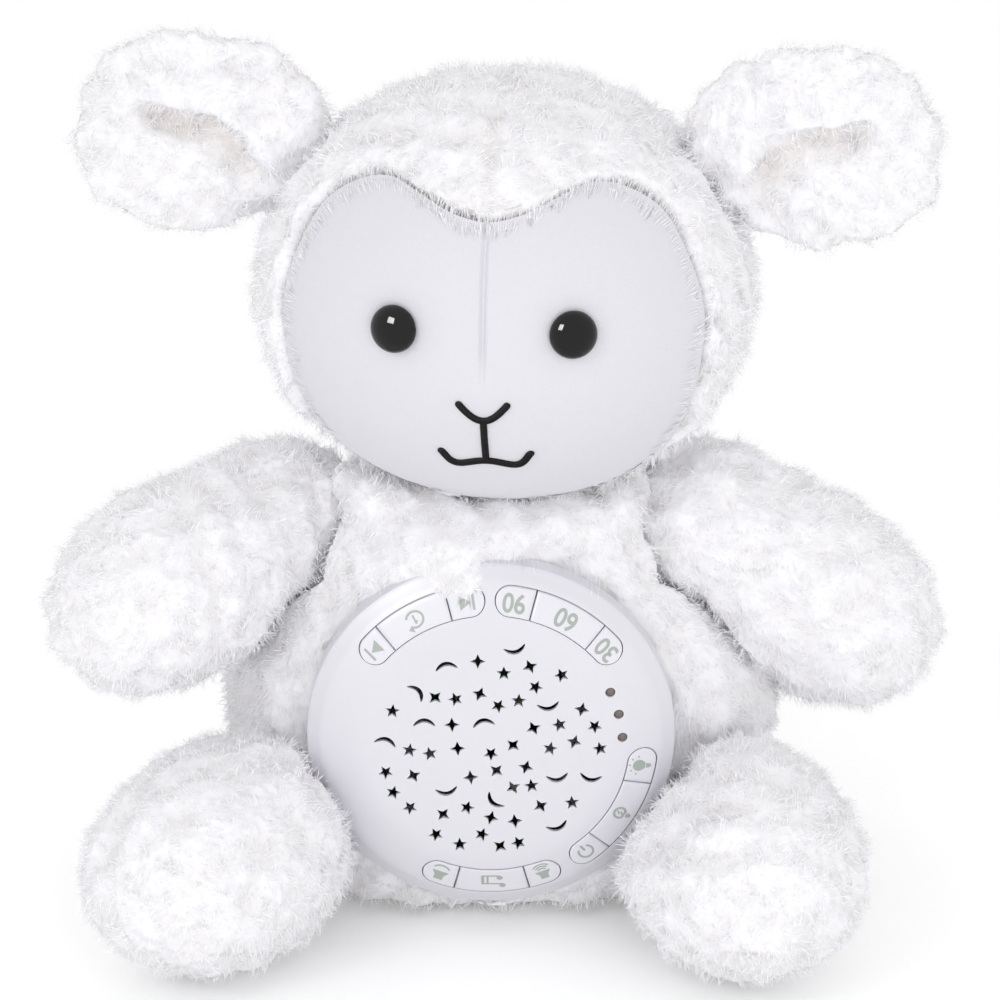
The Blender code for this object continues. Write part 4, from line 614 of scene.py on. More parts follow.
marks = {
    "next": [filled(((1.3, 1.25), (1.3, -1.25), (-0.75, 0.0))), stroke(((-1.2, 1.35), (-1.2, -1.35)), 0.45)],
    "previous": [
        filled(((-1.3, 1.25), (0.75, 0.0), (-1.3, -1.25))),
        stroke(((1.2, 1.35), (1.2, -1.35)), 0.45),
    ],
    "repeat": [
        stroke(loop, LINE * 0.75),
        filled(((1.0, 2.15), (1.0, 0.75), (2.0, 1.35))),
        stroke(((0.05, 0.85), (0.05, -0.85)), 0.36),
        stroke(((0.1, 0.72), (-0.4, 0.35)), 0.3),
    ],
    "power": [stroke(bow(1.75, 52.0, -232.0, steps=30), LINE), stroke(((0.0, 2.2), (0.0, 0.35)), LINE)],
    "bright": [filled(bulb), filled(socket), *rays],
    "dim": [
        stroke(hook, 0.5),
        filled(socket),
        stroke(((0.35, 1.15), (-0.3, 0.55), (0.3, 0.35), (-0.35, -0.2)), 0.42),
    ],
    "volume_down": [filled(speaker), stroke(bow(1.9, 40.0, 140.0, (0.0, 0.1)), 0.36)],
    "volume_up": [
        filled(speaker),
        *[stroke(bow(r, 45.0, 135.0, (0.0, 0.1)), 0.3) for r in (1.15, 1.7, 2.25)],
    ],
    "song": [
        filled(bow(0.62, 0.0, 342.0, (1.55, 0.9), 0.8, 16)),
        filled(bow(0.62, 0.0, 342.0, (2.1, -1.0), 0.8, 16)),
        stroke(((1.5, 1.35), (-1.75, 1.35)), 0.32),
        stroke(((2.1, -0.6), (-1.75, -0.6)), 0.32),
        stroke(((-1.75, 1.5), (-1.75, -0.75)), 0.6),
        stroke(((-0.8, 1.45), (-0.8, -0.7)), 0.4),
    ],
    **{f"timer_{minutes}": [numerals(minutes, 5.6)] for minutes in ("30", "60", "90")},
}
INK = 0.00005
# How much larger than drawn each mark is printed
PRINTED = {
    "next": 1.65, "previous": 1.65, "repeat": 1.55, "power": 1.25, "bright": 1.45, "dim": 1.45,
    "volume_down": 1.6, "volume_up": 1.5, "song": 1.55, "timer_30": 1.3, "timer_60": 1.35, "timer_90": 1.35,
}
for name, shapes in marks.items():
    points = np.concatenate([shape[0] for shape in shapes]) * (PRINTED[name] * MM, PRINTED[name] * MM, 1.0)
    starts = np.cumsum([0] + [len(shape[0]) for shape in shapes])
    faces = [
        tuple(int(at) + int(start) for at in face)
        for shape, start in zip(shapes, starts)
        for face in shape[1]
    ]
    middle = math.radians(key_middles[name])
    c, s = math.cos(middle), math.sin(middle)
    x = -points[:, 0] * s - points[:, 1] * c + BAND_MIDDLE * c
    y = points[:, 0] * c - points[:, 1] * s + BAND_MIDDLE * s
    rise = cover_height(np.hypot(x, y)) + KEY_PROUD + (points[:, 2] * 2.0 - 1.0) * INK
    mesh = meshed(name + "_mark", out_of_belly(np.column_stack((x, y, rise))), faces, weld=1e-7)
    piece(name + "_mark", mesh, name + "_button", print_ink, sharp=30.0)
print("marks:", len(marks))

# %% [markdown]
# ## Lamp lenses
# Three small lenses beside the bands show which timer runs. They are smoked acrylic rods with a
# shallow dome, a little below the cover's face, so that their holes show a thin dark edge.

# %% Lenses
LENS_DROP, LENS_DOME = 0.0004, 0.0005
for index, place in enumerate(window_places):
    foot = RIM_PLACE[1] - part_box(f"indicator_lamp_{index + 1}")[1].y
    radius = WINDOW_RADIUS - GAP / 2
    top = cover_height(WINDOW_CIRCLE) - LENS_DROP
    bend = np.linspace(0.0, np.pi / 2, 8)
    dome = np.column_stack((radius * np.sin(bend), top - LENS_DOME * (1.0 - np.cos(bend))))
    profile = np.concatenate((dome, ((radius, foot), (0.0, foot))))
    points, quads = gridded(turned(profile, 32), round_columns=True)
    mesh = meshed("lamp_lens", out_of_belly(points + (*place, 0.0)), quads)
    piece(f"lamp_lens_{index + 1}", mesh, "body", smoked, 40.0, [f"indicator_lamp_{index + 1}"])
print("lenses:", len(window_places))

# %% [markdown]
# ## Inside the module
# Behind the cover lie the case, boards, lamps, a drum that keeps stray light from the openings, the
# speaker and three cells. Their CAD shapes are right as they are, so they stay and only get finishes:
# moulded ABS, green boards under solder resist, zinc-plated steel, pressed paper, sintered ferrite
# and printed cell sleeves.

# %% Finishes for the CAD nodes
inner_finishes = {
    "case_plastic": grained("moulded_case_abs", "#DEDEE2", "#D9D9DE", 0.45, 0.5 * MM, 0.01 * MM, IOR=1.53),
    "board": grained("green_solder_resist", "#1E5B34", "#18502C", 0.40, 1.5 * MM, 0.01 * MM),
    "lamp": grained("clear_lamp_epoxy", "#EFE9D2", "#E8E1C6", 0.12, 2.0 * MM, 0.002 * MM),
    "drum": grained("black_moulded_abs", "#171718", "#1E1E20", 0.60, 0.5 * MM, 0.01 * MM, IOR=1.53),
    "steel": grained("zinc_plated_steel", "#C4C3C0", "#B7B6B3", 0.34, 0.8 * MM, 0.003 * MM, Metallic=1.0),
    "paper_cone": grained("pressed_paper", "#2C2B2A", "#242322", 0.85, 0.6 * MM, 0.05 * MM),
    "ferrite": grained("sintered_ferrite", "#3A3A3B", "#303031", 0.60, 0.7 * MM, 0.02 * MM),
    "cell": grained("printed_cell_sleeve", "#3C4148", "#373C43", 0.35, 3.0 * MM, 0.003 * MM),
}
for row in frame["record"]["subparts"]:
    if row["material_slot"] in inner_finishes:
        mesh = nodes[row["node"]].data
        mesh.materials.clear()
        mesh.materials.append(inner_finishes[row["material_slot"]])
print("finishes:", sorted(inner_finishes))

# %% [markdown]
# ## The tape round the pocket
# The plush is hemmed round the module with a knitted tape. It is turned like the cover, from a rounded
# section, and its surface rises and falls across the ribs of the knit, which are 1.2 mm apart.

# %% Pocket tape
TAPE_HALF_WIDTH, RIB_SPACING, RIB_RISE = 0.00325, 0.0012, 0.0001
tape_low, tape_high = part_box("pocket_ring")
tape_outer = (tape_high.x - tape_low.x) / 2
tape_half = np.array((TAPE_HALF_WIDTH, (tape_high.y - tape_low.y) / 2))
tape_middle = (tape_outer - tape_half[0], RIM_PLACE[1] - (tape_low.y + tape_high.y) / 2)
tape_turn = np.linspace(0.0, 2.0 * np.pi, 720, endpoint=False)
section_turn = np.linspace(0.0, 2.0 * np.pi, 24, endpoint=False)
section = np.stack((np.cos(section_turn), np.sin(section_turn)), axis=-1)
section = np.sign(section) * np.abs(section) ** 0.6 * (tape_half - RIB_RISE)
tape = turned(section + tape_middle, len(tape_turn))
ribs = int(2.0 * np.pi * tape_outer / RIB_SPACING)
tape[..., 2] += RIB_RISE * np.cos(ribs * tape_turn) * np.sign(section[:, 1:])
tape_points, tape_quads = gridded(tape, round_rows=True, round_columns=True)
knit = grained("white_knit_tape", "#EDECF0", "#DEDCE0", 0.90, 0.9 * MM, 0.05 * MM, spread=0.03)
tape_mesh = meshed("pocket_tape", out_of_belly(tape_points), tape_quads)
piece("pocket_tape", tape_mesh, "body", knit, 60.0, ["pocket_ring"])
print("tape ribs:", ribs)

# %% [markdown]
# ## The head's own frame
# The head is turned a little to one side, and the face is drawn on its front. Face pieces are worked
# out round the head's centre and carried to their place by one turn and one shift.

# %% Head frame
head_joint = next(joint for joint in frame["joints"] if joint["name"] == "head_turn")
HEAD_CENTRE = np.array(head_joint["pos_m"])
HEAD_YAW = math.radians(-6.0)
HEAD_HALF = np.array((0.077, 0.070, 0.067))
YAW = np.array(
    (
        (math.cos(HEAD_YAW), -math.sin(HEAD_YAW), 0.0),
        (math.sin(HEAD_YAW), math.cos(HEAD_YAW), 0.0),
        (0.0, 0.0, 1.0),
    )
)


def on_head(points):
    """From the head's own frame to the lamb's."""
    return points @ YAW.T + HEAD_CENTRE


def in_head(points):
    """From the lamb's frame to the head's own."""
    return (points - HEAD_CENTRE) @ YAW


EYES = 0.332 * HEAD_HALF[0] * np.array((-1.0, 1.0)), 0.085 * HEAD_HALF[2]
FACE_DEPTH = 0.0035
# Depth and half width of the dart's narrow crease, of the shallow dip round it, and of an eye's dimple
CREASE, DIP, DIMPLE = (0.0015, 0.0008), (0.0011, 0.0070), (0.0012, 0.0095)
# Where the dart ends and over what height it fades, as shares of the head's half height
DART_END, DART_FADE = -0.19, 0.20


def face_front(x, z):
    """How far forward the velour lies: an ellipsoid, less the seam's crease and a dimple at each eye."""
    a, b, c = HEAD_HALF - FACE_DEPTH
    inside = np.maximum(1.0 - (x / a) ** 2 - (z / c) ** 2, 0.0)
    along = np.clip((z - DART_END * HEAD_HALF[2]) / (DART_FADE * HEAD_HALF[2]), 0.0, 1.0)
    narrow, wide = (deep * np.exp(-((x / half) ** 2)) for deep, half in (CREASE, DIP))
    crease = along * (narrow + wide)
    deep, half = DIMPLE
    dimple = sum(deep * np.exp(-((x - eye) ** 2 + (z - EYES[1]) ** 2) / half**2) for eye in EYES[0])
    return -b * np.sqrt(inside) + crease + dimple


# %% [markdown]
# The edge of the face is noted as a few points of its right half, as shares of the head's half width
# and height, from the hairline's dip down to the chin. A smooth curve goes through them.

# %% Face outline
HALF_OUTLINE = np.array(
    ((0.0, 0.53), (0.13, 0.56), (0.26, 0.62), (0.38, 0.66), (0.51, 0.62), (0.64, 0.51), (0.73, 0.33),
     (0.79, 0.12), (0.79, -0.10), (0.73, -0.40), (0.58, -0.68), (0.34, -0.85), (0.0, -0.90))
)


def smooth_curve(points, spans):
    """A Catmull-Rom curve through all points, worked out for all spans at once."""
    padded_points = np.concatenate((points[1:2] * (-1, 1), points, points[-2:-1] * (-1, 1)))
    a, b, c, d = (padded_points[i : len(points) - 1 + i, None] for i in range(4))
    t = (np.arange(spans) / spans)[None, :, None]
    curve = 0.5 * (2 * b + (c - a) * t + (2 * a - 5 * b + 4 * c - d) * t**2 + (3 * b - a - 3 * c + d) * t**3)
    return np.concatenate((curve.reshape(-1, 2), points[-1:]))


face_line = smooth_curve(HALF_OUTLINE, 12) * HEAD_HALF[[0, 2]]
widest = int(np.argmax(face_line[:, 0]))
FACE_WIDE = face_line[widest, 0]


def face_top(x):
    return np.interp(np.abs(x), face_line[: widest + 1, 0], face_line[: widest + 1, 1])


def face_foot(x):
    return np.interp(np.abs(x), face_line[widest:, 0][::-1], face_line[widest:, 1][::-1])


print("half of the face outline:", len(face_line), "points")

# %% [markdown]
# ## Stuffed forms
# Torso, head, limbs and ears are bags of knitted cloth filled with polyester wadding, and the pile
# stands on that cloth. A plain ellipsoid looks too regular for a bag, so each form starts from its
# CAD solid. It is meshed afresh at an even size, set in or out a little, and a cloth simulation blows
# it up from inside, as the filling does. How far a point may move is capped. What comes out is the
# level that most of the pile reaches. Each row gives the body, the mesh's size and the level's depth.

# %% Skins
SKINS = {
    "torso": ("body", 0.0050, 0.0010),
    "head": ("head", 0.0050, 0.0008),
    "left_arm": ("left_arm", 0.0048, 0.0000),
    "right_arm": ("right_arm", 0.0048, -0.0002),
    "left_leg": ("body", 0.0048, 0.0004),
    "right_leg": ("body", 0.0048, 0.0000),
    "left_ear": ("left_ear", 0.0034, -0.0025),
    "right_ear": ("right_ear", 0.0034, -0.0022),
}
SWELL, CLOTH_FRAMES = 0.0012, 20


def settle(thing):
    """Makes the piece's modifiers part of its mesh."""
    depsgraph = bpy.context.evaluated_depsgraph_get()
    mesh = bpy.data.meshes.new_from_object(thing.evaluated_get(depsgraph))
    thing.modifiers.clear()
    thing.data = mesh


def even_skin(name, voxel, depth):
    """The CAD solid as a smooth, evenly meshed form that lies deeper by the given depth."""
    mesh = nodes[name].data.copy()
    bm = bmesh.new()
    bm.from_mesh(mesh)
    bmesh.ops.remove_doubles(bm, verts=bm.verts, dist=1e-6)
    bm.to_mesh(mesh)
    bm.free()
    thing = bpy.data.objects.new(name + "_skin", mesh)
    bpy.context.scene.collection.objects.link(thing)
    remesh = thing.modifiers.new("even", "REMESH")
    remesh.mode, remesh.voxel_size = "VOXEL", voxel
    smooth = thing.modifiers.new("smooth", "SMOOTH")
    smooth.factor, smooth.iterations = 0.5, 8
    settle(thing)
    moved = places_of(thing.data) - normals_of(thing.data) * (depth + SWELL)
    thing.data.vertices.foreach_set("co", moved.ravel())
    relax = thing.modifiers.new("relax", "SMOOTH")
    relax.factor, relax.iterations = 0.5, 4
    settle(thing)
    return thing


skins = {name: even_skin(name, voxel, depth) for name, (body, voxel, depth) in SKINS.items()}
print("skin points:", {name: len(skin.data.vertices) for name, skin in skins.items()})

# %% [markdown]
# The simulation runs on all forms at once. Pressure alone acts on them, gravity is off, and after twenty frames
# each point's way is cut to the cap.

# %% Inflation
starts = {name: places_of(skin.data) for name, skin in skins.items()}
for name, skin in skins.items():
    cloth = skin.modifiers.new("cloth", "CLOTH").settings
    cloth.quality = 4
    cloth.use_pressure = True
    cloth.uniform_pressure_force = 4.0
    cloth.effector_weights.gravity = 0.0
scene = bpy.context.scene
for step in range(1, CLOTH_FRAMES + 1):
    scene.frame_set(step)
depsgraph = bpy.context.evaluated_depsgraph_get()
ends = {name: places_of(skin.evaluated_get(depsgraph).data) for name, skin in skins.items()}
scene.frame_set(1)
for name, skin in skins.items():
    skin.modifiers.clear()
    way = ends[name] - starts[name]
    length = np.linalg.norm(way, axis=1, keepdims=True)
    capped_way = way * np.minimum(1.0, 2.0 * SWELL / np.maximum(length, 1e-9))
    skin.data.vertices.foreach_set("co", (starts[name] + capped_way).ravel())
    print(name, "swelled by", round(float(np.linalg.norm(capped_way, axis=1).mean()) / MM, 2), "mm")
    finer = skin.modifiers.new("finer", "SUBSURF")
    finer.levels = finer.render_levels = 2
    settle(skin)

# %% [markdown]
# ## Folds, seams and tucks
# A few forms are too small for the CAD solids. The pile ends along the face's outline, a seam draws a
# crease over the forehead, and each ear is folded: its upper edge hangs over a hollow. Below the chin
# and above the disc the pile bulges out, the hips are fuller, and one leg is flattened by the disc.
# Each is a short push of the skin's points, which fades with the distance from a line.

# %% Folds
def faded(distance, start, end):
    """0 up to the start, 1 from the end on, and a smooth step between."""
    share = np.clip((distance - start) / (end - start), 0.0, 1.0)
    return share * share * (3.0 - 2.0 * share)


def outside_face(x, z):
    """How far a place on the head's front lies outside the face's outline, roughly."""
    x = np.abs(x)
    return np.maximum(np.maximum(z - face_top(x), face_foot(x) - z), x - FACE_WIDE)


FILL_DEPTH, SEAM_DEPTH, SEAM_HALF = 0.0018, 0.0018, 0.0024
CHIN_LEVEL, CHEEK_LEVEL = -0.046, -0.030


def shaped_head(points, out):
    """Fills up to the face's outline with pile, and draws in the seam of the forehead."""
    local = in_head(points)
    x, y, z = local.T
    depth = np.sqrt(((local / (HEAD_HALF - FILL_DEPTH)) ** 2).sum(axis=1))
    on_front = faded(-y, 0.008, 0.016) * faded(z, CHIN_LEVEL, CHEEK_LEVEL)
    fill = on_front * faded(outside_face(x, z), -0.0022, 0.0004) * (depth < 1.0)
    local = local * (1.0 + fill * (1.0 / depth - 1.0))[:, None]
    above = faded(z - face_top(x), -0.002, 0.004) * faded(0.035 - y, 0.0, 0.02)
    seam = SEAM_DEPTH * np.exp(-((x / SEAM_HALF) ** 2)) * above
    # The second value is painted shade along the crease of the forehead seam
    return on_head(local) - seam[:, None] * out, 0.3 * seam / SEAM_DEPTH


# An ear's fold from near the tip to the root, as distance from the head's middle, and height
EAR_FOLD = np.array(
    ((0.1130, 0.0510), (0.1050, 0.0545), (0.0940, 0.0542), (0.0840, 0.0518), (0.0765, 0.0460),
     (0.0728, 0.0385), (0.0712, 0.0300))
)


def beside_fold(places):
    """Distance of places on the ear from the fold, positive in its hollow, and a fade near its ends."""
    start, end = EAR_FOLD[:-1], EAR_FOLD[1:]
    way = end - start
    length = np.linalg.norm(way, axis=1)
    offset = places[:, None] - start
    share = np.clip((offset * way).sum(axis=2) / length**2, 0.0, 1.0)
    gap = offset - share[..., None] * way
    distance = np.linalg.norm(gap, axis=2)
    nearest = distance.argmin(axis=1)
    row = np.arange(len(places))
    side = np.sign(way[nearest, 0] * gap[row, nearest, 1] - way[nearest, 1] * gap[row, nearest, 0])
    along = np.concatenate(((0.0,), np.cumsum(length)))[nearest] + share[row, nearest] * length[nearest]
    to_end = np.minimum(along, length.sum() - along)
    return side * distance[row, nearest], faded(to_end, 0.0, 0.012)


HOLLOW_DEPTH, HOLLOW_MIDDLE, HOLLOW_HALF = 0.0058, 0.0038, 0.0052
LIP_OUT, LIP_DOWN, LIP_MIDDLE, LIP_HALF = 0.0020, 0.0014, -0.0040, 0.0036


def shaped_ear(points, out):
    """Presses a hollow under the fold and pulls the edge above it out and down over it."""
    local = in_head(points)
    inside, near = beside_fold(np.column_stack((np.abs(local[:, 0]), local[:, 2])))
    front = faded(-(out @ YAW)[:, 1], 0.1, 0.5) * near
    hollow = front * np.exp(-(((inside - HOLLOW_MIDDLE) / HOLLOW_HALF) ** 2))
    hollow *= faded(inside, LIP_MIDDLE, 0.0015)
    lip = front * np.exp(-(((inside - LIP_MIDDLE) / LIP_HALF) ** 2))
    local[:, 1] += HOLLOW_DEPTH * hollow - LIP_OUT * lip
    local[:, 2] -= LIP_DOWN * lip
    # The second value is painted shade in the hollow and a painted highlight on the lip over it
    return on_head(local), 0.6 * hollow - 0.2 * lip


def on_disc(points):
    """Across, up and out on the module for points of the lamb."""
    offset = points - RIM_PLACE
    return offset[:, 0], offset[:, 2], -offset[:, 1]


CHIN_BULGE = 0.0055
RIGHT_HIP, LEFT_HIP, HIP_LEVEL, HIP_HALF = 0.0105, -0.0030, 0.066, 0.022
# The tuft over the disc: where its middle is and how wide it is, in degrees, how far in it reaches, and
# how high it lies on the cover
TUFT_ANGLE, TUFT_SPREAD, TUFT_REACH, TUFT_LIFT = 104.0, 23.0, 0.0022, 0.0018


def shaped_torso(points, out):
    """Pile that bulges under the chin and hangs over the disc's upper edge, and the hips' real width."""
    near_head = faded(-np.linalg.norm(in_head(points) / HEAD_HALF, axis=1), -1.27, -1.08)
    chin = faded(-points[:, 1], -0.010, 0.010) * near_head * faded(points[:, 2], 0.105, 0.120)
    moved = points + (CHIN_BULGE * chin)[:, None] * out
    at_hips = np.exp(-(((points[:, 2] - HIP_LEVEL) / HIP_HALF) ** 2))
    hips = at_hips * faded(np.abs(points[:, 0]), 0.050, 0.075)
    moved[:, 0] += np.where(points[:, 0] > 0.0, RIGHT_HIP, LEFT_HIP) * hips
    across, up, ahead = on_disc(moved)
    radius = np.hypot(across, up)
    angle = np.degrees(np.arctan2(up, across)) - TUFT_ANGLE
    over = np.exp(-((angle / TUFT_SPREAD) ** 2)) * faded(-radius, -0.0720, -0.0600)
    over *= faded(ahead, -0.020, -0.008)
    inward = TUFT_REACH * over
    level_there = cover_height(np.minimum(radius - inward, DISC_RADIUS)) + TUFT_LIFT
    rise = np.maximum(level_there - ahead, 0.0) * over
    moved[:, 0] -= inward * across / radius
    moved[:, 2] -= inward * up / radius
    moved[:, 1] -= rise
    return moved, 0.0 * over


LEG_FLATTENED, LEG_AXIS = 0.0085, (0.073, 0.0, 0.0347)


def shaped_leg(points, out):
    """Flattens the right leg's upper inner side, where it lies against the disc."""
    towards = np.array((-0.70, 0.0, 0.71))
    reach = (points - LEG_AXIS) @ towards
    return points - LEG_FLATTENED * faded(reach, 0.018, 0.038)[:, None] * towards, 0.0 * reach


SHAPES = {
    "head": shaped_head, "torso": shaped_torso, "right_leg": shaped_leg,
    "left_ear": shaped_ear, "right_ear": shaped_ear,
}
# Each shaping returns a painted shade with its points: darker along the forehead seam and in the ears' hollows,
# lighter on the ears' lips; the other forms get none
painted_fold_shade = {}
for name, skin in skins.items():
    points, out = places_of(skin.data), normals_of(skin.data)
    points, painted_fold_shade[name] = SHAPES[name](points, out) if name in SHAPES else (points, np.zeros(len(points)))
    skin.data.vertices.foreach_set("co", points.ravel())
    skin.data.update()
print("shaped:", sorted(SHAPES))

# %% [markdown]
# ## The mass of the pile
# The fibres stand so close that light hardly enters between them. What is seen is a white, tufted
# surface with loose locks on it. The tufted surface comes from the swelled form: its points are
# moved out and in by a field of plane waves, sums of cosines in many directions. Wide waves are the
# tufts. Narrow ones are the locks in them, stretched along the way the pile is combed and bent by a
# slow swirl, so that they curl.

# %% Tufts
def waves(points, size, seed, count=14):
    """A field of plane waves about size apart, and its slope: sums of cosines and their derivatives."""
    rng = np.random.default_rng(seed)
    ways = rng.normal(size=(count, 3))
    ways /= np.linalg.norm(ways, axis=1, keepdims=True)
    rates = 2.0 * np.pi / (size * rng.uniform(0.75, 1.35, count))
    phases = rng.uniform(0.0, 2.0 * np.pi, count)
    turns = points @ (ways * rates[:, None]).T + phases
    field = np.cos(turns).sum(axis=1) / math.sqrt(count / 2)
    slope = -np.sin(turns) @ ways / math.sqrt(count / 2)
    return field, slope


TUFT, LOCK, SWIRL, STRETCH = 0.013, 0.0036, 0.0028, 0.62
TUFT_RELIEF, LOCK_RELIEF = 0.0012, 0.0004
# How each form's pile is combed, as a slope along the skin
COMB = {
    "torso": (0.0, -0.10, -0.8),
    "head": (0.0, -0.05, -0.5),
    "left_arm": (-0.5, -0.2, -0.5),
    "right_arm": (0.5, -0.2, -0.5),
    "left_leg": (-0.2, -0.4, -0.4),
    "right_leg": (0.2, -0.4, -0.4),
    "left_ear": (-0.5, 0.0, -0.3),
    "right_ear": (0.5, 0.0, -0.3),
}


def tufted(points, comb, seed):
    """Relief of the pile from -1 to 1: wide waves, and narrow ridges stretched along the comb and swirled."""
    wide, slope = waves(points, TUFT, seed)
    swirl = np.stack([waves(points, TUFT, seed + 10 + axis)[0] for axis in range(3)], axis=-1)
    way = np.array(comb) / np.linalg.norm(comb)
    bent = points + SWIRL * swirl
    bent = bent - STRETCH * (bent @ way)[:, None] * way
    narrow = 1.0 - 2.0 * np.minimum(np.abs(waves(bent, LOCK, seed + 20)[0]), 1.0)
    return np.clip(0.55 * wide, -1.0, 1.0), narrow


for index, (name, skin) in enumerate(skins.items()):
    wide, narrow = tufted(places_of(skin.data), COMB[name], 30 * index)
    relief = (TUFT_RELIEF * wide + LOCK_RELIEF * narrow)[:, None]
    moved = places_of(skin.data) + relief * normals_of(skin.data)
    skin.data.vertices.foreach_set("co", moved.ravel())
    # Painted shade: a low value gives the warmer, darker tone in the dips of the relief and in the folds, a high
    # one the lighter tone on the crests
    shade = skin.data.attributes.new("shade", "FLOAT", "POINT")
    shade.data.foreach_set("value", np.clip(0.85 + 0.12 * wide + 0.10 * narrow - painted_fold_shade[name], 0.0, 1.0))
print("relief on", len(skins), "forms")

# %% [markdown]
# Polyester pile is white with a breath of lilac at its tips. A warmer, darker tone is painted into the dips of the
# relief and into the folds as painted shade, standing in for the light lost deep among the fibres, and the crests
# keep the lighter tone. Fibres finer than the mesh are a bump: noise with a grain of 1.4 mm, drawn out up and
# down, as most of the pile is combed.

# %% Plush
plush = finish("combed_white_plush", "#F7F7FB", 0.9, Sheen_Weight=0.1, Sheen_Roughness=0.5)
tree = plush.node_tree
shader = tree.nodes["Principled BSDF"]
deep = node(tree, "Attribute", attribute_name="shade").outputs["Fac"]
# Painted shade: #E9E3DE is the tone of the pile's dips and folds, #F7F7FB that of its crests
tone = node(tree, "Mix", {"Factor": deep}, data_type="RGBA")
tone.inputs[6].default_value, tone.inputs[7].default_value = linear("#E9E3DE"), linear("#F7F7FB")
place = node(tree, "TexCoord").outputs["Object"]
combed = node(tree, "Mapping", {"Vector": place, "Scale": (1.0, 1.0, 0.45)}).outputs["Vector"]
grain = {"Scale": 1.0 / (1.4 * MM), "Detail": 4.0, "Distortion": 1.2}
fibres = node(tree, "TexNoise", {"Vector": combed, **grain})
bump = node(tree, "Bump", {"Height": fibres.outputs["Fac"], "Distance": 0.25 * MM, "Strength": 1.0})
tree.links.new(tone.outputs[2], shader.inputs["Base Color"])
tree.links.new(bump.outputs["Normal"], shader.inputs["Normal"])
for name, skin in skins.items():
    skin.data.materials.clear()
    skin.data.materials.append(plush)
    skin.data.shade_smooth()
    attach(skin, SKINS[name][0])
    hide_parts(name)

# %% [markdown]
# ## The face
# The face is one panel of velour, sewn to the pile along a heart-like hairline, with a dart down its
# middle. A flat sheet could be shrink-wrapped, but the outline would have to be found again. Instead
# the panel is drawn as columns from chin to hairline, closest together at the dart, and each point is
# pushed forward to the head. The same grid, set back and joined at its rim, closes it.

# %% Face panel
DART_HALF, PANEL_THICK = 0.0024, 0.0020
near_seam = np.linspace(0.0, DART_HALF, 13)
to_side = FACE_WIDE * 0.9995 * np.sin(np.linspace(math.asin(DART_HALF / FACE_WIDE), np.pi / 2, 60))
half_columns = np.concatenate((near_seam, to_side[1:]))
columns = np.concatenate((-half_columns[:0:-1], half_columns))
share = np.linspace(0.0, 1.0, 110)[:, None]
face_x = np.broadcast_to(columns, (len(share), len(columns)))
face_z = face_foot(columns) * (1.0 - share) + face_top(columns) * share
face_outside = np.stack((face_x, face_front(face_x, face_z), face_z), axis=-1)
inward = face_outside / (HEAD_HALF - FACE_DEPTH) ** 2
inward /= np.linalg.norm(inward, axis=-1, keepdims=True)
face_inside = face_outside - PANEL_THICK * inward
front, quads = gridded(face_outside)
behind, back_quads = gridded(face_inside)
index = np.arange(face_x.size).reshape(face_x.shape)
rim_line = np.concatenate((index[0, :-1], index[:-1, -1], index[-1, :0:-1], index[:0:-1, 0]))
ahead_line = np.roll(rim_line, -1)
count = face_x.size
rim_quads = np.stack((rim_line, ahead_line, ahead_line + count, rim_line + count), axis=-1)
face_mesh = meshed(
    "face",
    on_head(np.concatenate((front, behind))),
    np.concatenate((quads, back_quads[:, ::-1] + count, rim_quads)),
)
print("face panel quads:", len(quads))

# %% [markdown]
# Velour is a knit with a pile about a millimetre long, sheared level. It looks matt, a little brighter
# at a slant because the pile's sides catch the light, and shows a very fine grain, drawn here at
# 0.6 mm. The sheen of the shader gives the brightness at a slant.

# %% Velour
velour = grained(
    "sheared_velour", "#DFDEE4", "#DAD9DF", 0.93, 0.6 * MM, 0.12 * MM,
    spread=0.03, Sheen_Weight=0.25, Sheen_Roughness=0.5,
)
face_panel = piece("face_velour", face_mesh, "head", velour, 60.0, ["face_panel"])

# %% [markdown]
# ## The eyes
# Safety eyes are domes of black polished plastic on a ribbed shank, which a washer holds behind the
# cloth. A turned dome is enough, but its edge has to curl in before it meets the cloth, or the eye
# looks like a cut ball. The shank and its ribs are turned in the same profile.

# %% Eyes
glossy_black = grained(
    "polished_black_acrylic", "#0B0A0C", "#0D0C0E", 0.05, 6.0 * MM, 0.0002 * MM,
    spread=0.01, Specular_IOR_Level=0.32,
)
nylon = grained("natural_nylon", "#E3E1DA", "#DBD9D2", 0.50, 0.8 * MM, 0.01 * MM)
EYE_RADIUS, EYE_RISE, EYE_CURL, EYE_SUNK = 0.007, 0.0046, 0.0008, 0.0006
bend = np.linspace(0.0, np.pi / 2, 22)
dome = np.column_stack((EYE_RADIUS * np.sin(bend), EYE_CURL + EYE_RISE * np.cos(bend)))
curl = np.linspace(0.0, np.pi / 2, 6)[1:]
curled = np.column_stack((0.0062 + EYE_CURL * np.cos(curl), EYE_CURL - EYE_CURL * np.sin(curl)))
rib_height = np.linspace(-0.001, -0.0118, 40)
rib = np.column_stack((0.00178 + 0.0002 * np.cos(rib_height / 0.0012 * 2.0 * np.pi), rib_height))
washer_profile = (
    (0.0022, -0.009), (0.0073, -0.009), (0.0075, -0.0092), (0.0075, -0.0104), (0.0073, -0.0106),
    (0.0022, -0.0106),
)
eye_profile = np.concatenate((dome, curled, ((0.0021, 0.0),), rib, ((0.0008, -0.0129), (0.0, -0.013))))
